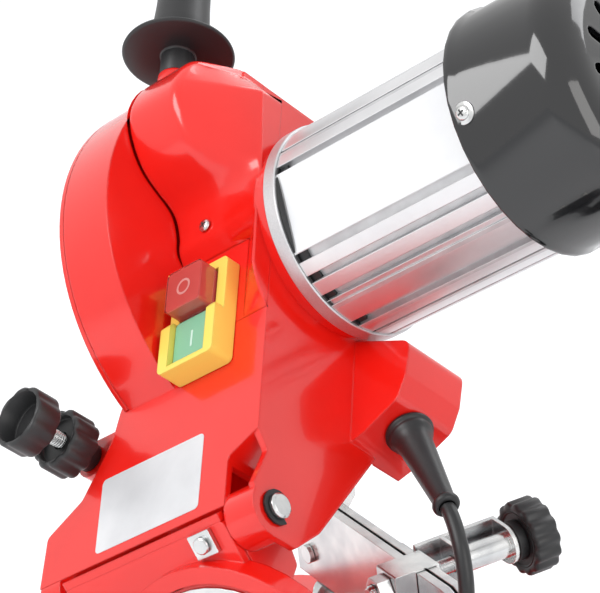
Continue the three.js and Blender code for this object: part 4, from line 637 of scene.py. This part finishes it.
def lobe_section(front, height):
    """Points [x, y] round the lobe: left side, rounded corner, front, rim and the side to the seat."""
    depth = arm_face - front
    corner = min(rim_radius, depth / 2.2)
    rim = lobe_rim if depth > 1 else lobe_crease
    chamfer = min(chamfer_high - chamfer_low, max(0, height - chamfer_low)) * chamfer_slope
    right = casting_right - chamfer
    seat = read_at(seat_rise, height)
    section = [(lobe_left + 0.05, arm_face + 0.1), (lobe_left + 0.05, front + corner)]
    for i in range(1, 5):
        a = math.pi / 2 * i / 4
        section.append((lobe_left + corner * (1 - math.cos(a)), front + corner * (1 - math.sin(a))))
    section += [(lobe_left + corner + 0.6, front), (rim - corner - 0.6, front)]
    start = Vector((rim - corner, front))
    bend = Vector((rim, front))
    away = (Vector((right, seat)) - bend).normalized()
    for i in range(5):
        t = i / 4
        section.append(tuple(start * (1 - t) ** 2 + 2 * bend * t * (1 - t) + (bend + corner * away) * t ** 2))
    reach = (Vector((right, seat)) - bend).length
    for along in (corner + 0.6, 0.5 * reach, reach - 1.8):
        section.append(tuple(bend + along * away))
    return section + [(right - 0.8, seat), (right, seat + 0.8), (right, arm_face + 0.1)]


casting = casting_without_lobe()
front_line = smooth_line([Vector((0, y, z)) for y, z in lobe_front], 4)
for level in (chamfer_low, chamfer_high):
    above = next(i for i, point in enumerate(front_line) if point.z > level)
    low, high = front_line[above - 1], front_line[above]
    front_line.insert(above, low.lerp(high, (level - low.z) / (high.z - low.z)))
rings = [Vector((0, arm_face - 0.1, z)) for z in foot_heights] + front_line
verts = []
for point in rings:
    section = lobe_section(point.y, point.z)
    verts += [head_at @ (Vector((x, y, point.z)) * mm) for x, y in section]
count = len(section)
faces = [tuple(range(count)), tuple((len(rings) - 1) * count + k for k in range(count))]
for i in range(len(rings) - 1):
    for k in range(count):
        n = (k + 1) % count
        faces.append((i * count + k, i * count + n, (i + 1) * count + n, (i + 1) * count + k))
nose = piece_from("spindle_lobe", verts, faces, red_paint, "head", 42)
boss_spot = (-52, -41)
boss_profile = [(0, 236), (9, 236), (9, 243.4), (8.4, 244), (0, 244)]
handle_boss = turned("handle_boss", boss_profile, along_z(head_at, *boss_spot), red_paint, "head", 48)


# Rib inside the arm's edge and the bracket's lip.
# Short cast webs that close the view through the notch beside the hinge and under the arm's foot.
def block_mesh(x0, x1, y0, y1, z0, z1, at):
    corners = [(x, y, z) for z in (z0, z1) for x, y in ((x0, y0), (x1, y0), (x1, y1), (x0, y1))]
    verts = [at @ (Vector(c) * mm) for c in corners]
    return verts, [(0, 3, 2, 1), (4, 5, 6, 7), (0, 1, 5, 4), (1, 2, 6, 5), (2, 3, 7, 6), (3, 0, 4, 7)]


web_block = block_mesh(-49, -23.5, 9, 10.6, 22, 45, head_at)
notch_web = piece_from("notch_web", *web_block, red_paint, "head")
lip_block = block_mesh(-123, -23.5, -13.9, -9.7, 5.7, 9.7, tilt_at)
foot_lip = piece_from("bracket_lip", *lip_block, red_paint, "bracket")


# Motor barrel.
# An extruded aluminium housing with screw channels and a flat that carries a bare white foil. It is
# clamped between a machined flange ring and the end cap; rubber plugs close the wide channels.
barrel_radius = 53.1
barrel_bore = 38
barrel_from = 10.7
barrel_to = 121.5
flat_half = math.radians(22.2)
flat_turn = math.radians(202.65)
wide_channels = [
    (24.55, 4.2), (36.5, 3.9), (48.7, 3.8), (71.75, 5.2), (122, 5.2), (150, 3.9),
    (180, 5.2), (210, 3.9), (238, 5.2), (288.25, 5.2), (335.2, 4.4),
]
thin_slots = [
    (85.5, 1.7), (99.3, 1.7), (136, 1.7), (224, 1.7),
    (260.7, 1.7), (274.5, 1.7), (303, 1.9), (321.6, 1.5),
]
side_step = (52.55, 3.1, 1.1)
wide_depth = 3.6
thin_depth = 1.8
channels = [(angle, width, wide_depth) for angle, width in wide_channels]
channels += [(angle, width, thin_depth) for angle, width in thin_slots]
channels = sorted(channels + [side_step])
motor_at = along_x(head_at, 24.7, 159.8)


def barrel_outline():
    """Points [radial, tangential] round from the flat's edge, and whether each is in a channel."""
    outline = []

    def turned_by(angle, points):
        c, s = math.cos(angle), math.sin(angle)
        return [(u * c - v * s, u * s + v * c, True) for u, v in points]

    def land(start, stop):
        steps = max(1, round((stop - start) / math.radians(2.5)))
        for i in range(steps + 1):
            a = start + (stop - start) * i / steps
            outline.append((barrel_radius * math.cos(a), barrel_radius * math.sin(a), False))

    angle = flat_half
    for middle, width, depth in channels:
        centre = math.radians(middle)
        reach = math.asin((width / 2 + 0.2) / barrel_radius)
        land(angle, max(angle, centre - reach))
        wall = math.sqrt(barrel_radius ** 2 - (width / 2) ** 2) - 0.2
        floor_at = barrel_radius - depth
        half_width = width / 2
        groove = [(wall, -half_width), (floor_at, -half_width), (floor_at, half_width), (wall, half_width)]
        outline.extend(turned_by(centre, groove))
        angle = centre + reach
    land(angle, 2 * math.pi - flat_half)
    return outline


# Channel floors and walls take a darker alloy than the lands: painted shade in the screw channels.
channel_shade_alloy, channel_shade_skin = finish_node("channel_alloy_painted_shade", (0.62, 0.62, 0.63), 0.5, 0.85)
tinted(channel_shade_alloy, channel_shade_skin, (0.58, 0.58, 0.59), (0.66, 0.66, 0.67), 0.01)
grain(channel_shade_alloy, channel_shade_skin, 0.0006, 0.00002)
outline = barrel_outline()
verts = []
for bore, height in ((False, barrel_from), (False, barrel_to), (True, barrel_to), (True, barrel_from)):
    for u, v, _ in outline:
        share = barrel_bore / math.hypot(u, v) if bore else 1
        point = Vector((u * share, v * share, height)) * mm
        verts.append(motor_at @ Matrix.Rotation(flat_turn, 4, "Z") @ point)
count = len(outline)
faces = []
for ring in range(4):
    low, high = ring * count, (ring + 1) % 4 * count
    for k in range(count):
        n = (k + 1) % count
        faces.append((low + k, low + n, high + n, high + k))
barrel = piece_from("motor_barrel", verts, faces, alloy, "head", 25)
# The faces inside the channels get the painted shade alloy.
barrel.data.materials.append(channel_shade_alloy)
for k in range(count):
    if outline[k][2] and outline[(k + 1) % count][2]:
        barrel.data.polygons[k].material_index = 1
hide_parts("motor_body")

ring_alloy, ring_skin = finish_node("turned_alloy", (0.60, 0.60, 0.61), 0.42, 0.92)
tinted(ring_alloy, ring_skin, (0.56, 0.56, 0.57), (0.62, 0.62, 0.63), 0.0008)
grain(ring_alloy, ring_skin, 0.0005, 0.00002, 0.0004)
ring_profile = [(38, 3.2), (53.7, 3.2), (54.2, 3.7), (54.2, 10.1), (53.8, 10.6), (38, 10.6), (38, 3.2)]
flange_ring = turned("flange_ring", ring_profile, motor_at, ring_alloy, "head", 128, 25)
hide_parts("motor_flange_ring")


def band(inner, outer, low, high):
    """A square profile once round, for a ring or a sleeve."""
    return [(inner, low), (outer, low), (outer, high), (inner, high), (inner, low)]


seat_profile = band(barrel_bore, 50.5, -6, 3.1)
seat_collar = turned("seat_collar", seat_profile, motor_at, red_paint, "head", 128, 25)
# A black ring past the flange ring, above the channel floors and below the lands, shows only at the channels'
# ends: painted shade in the groove ends.
groove_end_shade_profile = band(barrel_bore, 52.7, 10.65, 11.6)
groove_end_shade = turned("flange_groove_end_shade", groove_end_shade_profile, motor_at, cord_rubber, "head", 128, 25)

plug_blocks = []
channel_floor = barrel_radius - wide_depth
plug_base = channel_floor + 0.05
plug_top = channel_floor + 1.8
plug_from = 11.7
plug_to = 16.2
for middle, width in wide_channels:
    at = motor_at @ Matrix.Rotation(flat_turn + math.radians(middle), 4, "Z")
    side = width / 2 - 0.1
    plug_blocks.append(block_mesh(plug_base, plug_top, -side, side, plug_from, plug_to, at))
channel_plugs = piece_from("channel_plugs", *joined(*plug_blocks), cord_rubber, "head")

foil_white, foil_white_skin = finish_node("foil_white", (0.86, 0.86, 0.86), 0.32)
tinted(foil_white, foil_white_skin, (0.84, 0.84, 0.85), (0.88, 0.88, 0.88), 0.02)
grain(foil_white, foil_white_skin, 0.002, 0.000008)
flat_distance = barrel_radius * math.cos(flat_half)
flat_reach = barrel_radius * math.sin(flat_half)
panel_at = motor_at @ Matrix.Rotation(flat_turn, 4, "Z")
panel_base = flat_distance + 0.02
panel_top = flat_distance + 0.25
panel_side = flat_reach - 0.3
panel_from = 12.9
panel_to = barrel_to - 0.5
panel_block = block_mesh(panel_base, panel_top, -panel_side, panel_side, panel_from, panel_to, panel_at)
panel = piece_from("panel_foil", *panel_block, foil_white, "head")

cap_growth = 1.063
cap_offset = Vector((1.5, 2.7, 1.6)) * mm
end_cap = dressed("motor_end_cap", cap_black, "head", 40)
cap_axis = Vector((0, 21, 159.7)) * mm
for vertex in end_cap.data.vertices:
    local = head_at.inverted() @ vertex.co - cap_axis
    local.y *= cap_growth
    local.z *= cap_growth
    vertex.co = head_at @ (local + cap_axis + cap_offset)


# Handle.
# A moulded grip with a round hand guard, screwed on the boss at the head's top by a stud.
boss_top = 244.3
grip_profile = [(5.4, 0), (8.2, 0), (8.4, 0.4), (8.4, 12.8), (9.2, 13.5), (26.6, 13.7)]
grip_profile += [(27.6, 14.1), (28, 14.8), (27.7, 15.6), (26.8, 16), (13.8, 16.2), (12.7, 17)]
grip_profile += [(12.6, 18.5), (13.3, 21), (14.4, 25), (14.6, 27), (14.3, 32), (13.5, 44)]
grip_profile += [(13.2, 54), (13.5, 64), (14.6, 78), (15.4, 87), (15.6, 93), (15.4, 99)]
grip_profile += [(14.5, 104.5), (12.6, 108.6), (9.6, 111.2), (5, 112), (0, 112)]
handle_at = along_z(head_at, *boss_spot, boss_top)
handle = turned("handle_grip", [(5.4, 0.2)] + grip_profile, handle_at, nylon, "head", 72)
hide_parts("handle")


# Depth stop: threaded stud, cup knob and lock knob.
# A zinc-plated M8 stud whose end carries a lobed cup knob; the second knob locks it at the arm.
def thread_profile(radius, low, high, pitch, chamfer=1.0, depth=0.55):
    points = [(0, low), (radius - chamfer, low), (radius - depth, low + chamfer)]
    height = low + chamfer
    while height + pitch < high - chamfer:
        points += [(radius, height + 0.5 * pitch), (radius - depth, height + pitch)]
        height += pitch
    return points + [(radius - depth, high - chamfer), (radius - chamfer, high), (0, high)]


def lobed_knob(name, body, at, radius, depth, lobes, low, high, bore, dish, edge, sharp):
    """A nylon knob of rounded lobes: one outline, drawn in at both rims and into a dish."""
    count = 12 * lobes
    dish_radius, dish_depth = dish

    def ring_at(shrink, height):
        ring = []
        for k in range(count):
            angle = 2 * math.pi * k / count
            wave = (0.5 - 0.5 * math.cos(lobes * angle)) ** sharp
            r = radius - depth * wave - shrink
            ring.append(at @ (Vector((r * math.cos(angle), r * math.sin(angle), height)) * mm))
        return ring

    def round_at(r, height):
        ring = []
        for k in range(count):
            angle = 2 * math.pi * k / count
            ring.append(at @ (Vector((r * math.cos(angle), r * math.sin(angle), height)) * mm))
        return ring

    rings = [round_at(max(bore, 0.4), low + dish_depth), round_at(dish_radius - 0.8, low + dish_depth)]
    rings += [round_at(dish_radius - 0.2, low + dish_depth - 0.8), round_at(dish_radius, low + 0.6)]
    rings += [round_at(dish_radius + 0.6, low)]
    rings += [ring_at(edge, low), ring_at(0.3 * edge, low + 0.3 * edge), ring_at(0, low + edge)]
    rings += [ring_at(0, high - edge), ring_at(0.3 * edge, high - 0.3 * edge), ring_at(edge, high)]
    rings += [round_at(max(bore, 0.4), high)]
    if bore:
        rings.append(rings[0])
    verts = [v for ring in rings for v in ring]
    faces = []
    for i in range(len(rings) - 1):
        for k in range(count):
            n = (k + 1) % count
            faces.append((i * count + k, i * count + n, (i + 1) * count + n, (i + 1) * count + k))
    if not bore:
        faces.append(tuple(range(count)))
        faces.append(tuple((len(rings) - 1) * count + k for k in range(count)))
    return piece_from(name, verts, faces, nylon, body, 50)


stud_at = along_y(head_at, -121, 67)
stud_thread = turned("stud_thread", thread_profile(4, -46.4, 46, 1.25), stud_at, zinc, "depth_stud", 24, 60)
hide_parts("stop_stud")
knob_bore = 4.4
cup = lobed_knob(
    "cup_knob", "depth_grip", stud_at, radius=15.6, depth=0.9, lobes=8, low=-57, high=-42.6,
    bore=knob_bore, dish=(13, 10.5), edge=1.4, sharp=2.2,
)
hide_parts("depth_knob")
lock = lobed_knob(
    "lock_knob", "depth_lock", stud_at, radius=15.4, depth=1.4, lobes=10, low=-33, high=-17.9,
    bore=knob_bore, dish=(12, 3.5), edge=1.6, sharp=1.6,
)
hub_profile = [(knob_bore, -18.2), (7, -18.2), (7, -9.8), (6.6, -9.3), (knob_bore, -9.3), (knob_bore, -18.2)]
lock_hub = turned("lock_hub", hub_profile, stud_at, nylon, "depth_lock", 40)
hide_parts("stop_lock_knob")


# Strain relief.
# A smooth tapered rubber sleeve over the cord, with a stepped flange in the lobe's hole and a bead
# at its thin end, so that the cord can't kink where it leaves.
relief_exit = Vector(upper_line[0])
relief_root = head_at @ (Vector((15, 63, 63.6)) * mm)
relief_axis = (relief_exit - relief_root).normalized()
relief_length = (relief_exit - relief_root).length / mm - 0.3
relief_profile = [(3.9, 0), (10.8, 0), (11.4, 0.4), (11.6, 1.2), (11.4, 2.2), (10.6, 2.8)]
relief_profile += [(10.3, 3.4), (10.5, 4.2), (10.2, 5.4), (9.4, 6.6), (8.7, 8.4), (8.2, 11)]
relief_profile += [(5.2, relief_length - 4.6), (5.3, relief_length - 4.2), (6, relief_length - 3.6)]
relief_profile += [(6.4, relief_length - 2.4), (6.3, relief_length - 1.2), (5.8, relief_length - 0.4)]
relief_profile += [(5.2, relief_length), (3.9, relief_length), (3.9, 0)]
relief_at = place_on(relief_root, relief_axis, (0, 1, 0))
relief = turned("relief_sleeve", relief_profile, relief_at, cord_rubber, "head", 64, 60)
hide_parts("strain_relief")


# Vise clamp: threaded rod and hand knob.
# The rod pulls the block and the moving rail towards the knob, which turns against the bracket.
screw_height = 48.4
rod_at = along_y(vise_at, 70, screw_height)
rod_thread = turned("clamp_thread", thread_profile(4, -28, 63, 1.25), rod_at, zinc, "jaw", 24, 60)
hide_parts("clamp_screw")
grip = lobed_knob(
    "clamp_grip_lobes", "clamp_grip", rod_at, radius=18.6, depth=1.3, lobes=14, low=56, high=70,
    bore=0, dish=(14, 0.8), edge=1.6, sharp=1.3,
)
hub_profile = [(knob_bore, 51.6), (9.6, 51.6), (10, 52), (10, 56.4), (knob_bore, 56.4), (knob_bore, 51.6)]
grip_hub = turned("clamp_grip_hub", hub_profile, rod_at, nylon, "clamp_grip", 40)
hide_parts("clamp_knob")


# Rating plate.
# A thin bare plate of satin foil on the arm's cover side, with rounded corners and a plain rim.
def plate_mesh(x0, x1, z0, z1, corner, y0, y1, frame_at, steps=5):
    """A plate in the frame's x and z with round corners, from y0 to y1."""
    outline = []
    left, right, low, high = x0 + corner, x1 - corner, z0 + corner, z1 - corner
    for quarter, (cx, cz) in enumerate(((right, low), (right, high), (left, high), (left, low))):
        for i in range(steps + 1):
            a = math.radians(90 * (quarter - 1) + 90 * i / steps)
            outline.append((cx + corner * math.cos(a), cz + corner * math.sin(a)))
    verts = [frame_at @ (Vector((x, y, z)) * mm) for y in (y0, y1) for x, z in outline]
    n = len(outline)
    faces = [tuple(range(n)), tuple(reversed(range(n, 2 * n)))]
    faces += [(i, (i + 1) % n, n + (i + 1) % n, n + i) for i in range(n)]
    return verts, faces


foil, foil_skin = finish_node("plate_foil", (0.74, 0.74, 0.75), 0.35, 0.25)
tinted(foil, foil_skin, (0.70, 0.70, 0.71), (0.80, 0.80, 0.81), 0.03)
grain(foil, foil_skin, 0.0006, 0.00001)
plate_shape = plate_mesh(-105, -38.5, 6.5, 46, 2.5, arm_face - 0.28, arm_face - 0.03, head_at)
plate = piece_from("rating_plate", *plate_shape, foil, "head")


# Small screws.
# Cross-recessed pan heads in bright zinc: one on the spindle lobe, and three round the end cap's
# rim on washers.
def pan_screw(name, at, body, radius, washer):
    """A pan head on a washer; its own z points out of the surface."""
    parts = []
    if washer:
        disc = [(0, 0), (washer, 0), (washer, 0.6), (washer - 0.3, 0.8), (0, 0.8)]
        parts.append(lathe_mesh([(r * mm, h * mm) for r, h in disc], 32, at))
    base_height = 0.8 if washer else 0
    dome = [(0, base_height)]
    for i in range(7):
        a = math.pi / 2 * i / 6
        dome.append((radius * math.cos(a) ** 0.6, base_height + 0.5 + 1.5 * math.sin(a)))
    dome[-1] = (0, base_height + 2.0)
    parts.append(lathe_mesh([(r * mm, h * mm) for r, h in dome], 32, at))
    screw = piece_from(name, *joined(*parts), zinc, body, 50)
    # The cross recess is drawn as a black cross on the dome: painted shade in the recess.
    arms = []
    for turn in (0, 90):
        arm_at = at @ Matrix.Rotation(math.radians(turn + 20), 4, "Z")
        x, y, z0, z1 = 0.52 * radius, 0.11 * radius, base_height + 1.2, base_height + 2.06
        arms.append(block_mesh(-x, x, -y, y, z0, z1, arm_at))
    cross = piece_from(name + "_cross", *joined(*arms), painted_recess_shade, body)


# Near-black for the screws' cross recesses, which is painted shade.
painted_recess_shade, painted_recess_skin = finish_node("painted_recess_shade", (0.03, 0.03, 0.03), 0.6)
grain(painted_recess_shade, painted_recess_skin, 0.0005, 0.00002)


def facing(frame_at, point, normal):
    """A placement on a surface point, in mm, with z along its outward normal."""
    spot = frame_at @ (Vector(point) * mm)
    out = frame_at.to_3x3() @ Vector(normal)
    return place_on(spot, out, frame_at.to_3x3() @ Vector((1, 0.01, 0.02)))


cap_screw_turn = 206.7
cap_rim_at = Vector((125.6, 23.7, 161.3))
cap_rim_radius = 59
for i in range(3):
    angle = math.radians(cap_screw_turn + 120 * i)
    out = Vector((0, math.cos(angle), math.sin(angle)))
    screw_at = facing(head_at, cap_rim_at + cap_rim_radius * out, out)
    pan_screw("cap_screw_%d" % (i + 1), screw_at, "head", 3.4, 5.2)
lobe_screw_at = facing(head_at, (-42.1, -21.7, 159.8), (0, -0.99, -0.12))
pan_screw("lobe_screw", lobe_screw_at, "head", 3.3, 0)


# Switch symbols and the clear stop cap.
# A raised ring on the stop key and a raised bar on the start key, moulded in a paler plastic. A cap
# of clear acrylic is snapped over the stop key and moves with it.
pale_red, pale_red_skin = finish_node("symbol_pale_red", (0.80, 0.45, 0.42), 0.3)
grain(pale_red, pale_red_skin, 0.0006, 0.00001)
pale_green, pale_green_skin = finish_node("symbol_pale_green", (0.62, 0.86, 0.74), 0.35)
grain(pale_green, pale_green_skin, 0.0006, 0.00001)
key_root = -14.3
stop_face = key_root - 17.5
start_face = key_root - 10
symbol_front = 0.25
symbol_back = 0.02
ring_at = along_y(head_at, -41.8, 118.5)
ring_profile = band(3.2, 4.3, stop_face - symbol_front, stop_face - symbol_back)
ring = turned("stop_ring", ring_profile, ring_at, pale_red, "stop_key", 40)
bar_y = (start_face - symbol_front, start_face - symbol_back)
bar_shape = plate_mesh(-42.1, -40.9, 88.9, 97.9, 0.5, *bar_y, head_at)
bar = piece_from("start_bar", *bar_shape, pale_green, "start_key")
clear_cap, clear_skin = finish_node("clear_acrylic", (0.98, 0.95, 0.93), 0.04)
clear_skin.inputs["Transmission Weight"].default_value = 1
clear_skin.inputs["IOR"].default_value = 1.3
grain(clear_cap, clear_skin, 0.004, 0.000004)
shield_shape = plate_mesh(-52.9, -30.7, 107.5, 129.5, 1.6, stop_face - 0.8, -23.3, head_at)
shield = piece_from("stop_shield", *shield_shape, clear_cap, "stop_key")
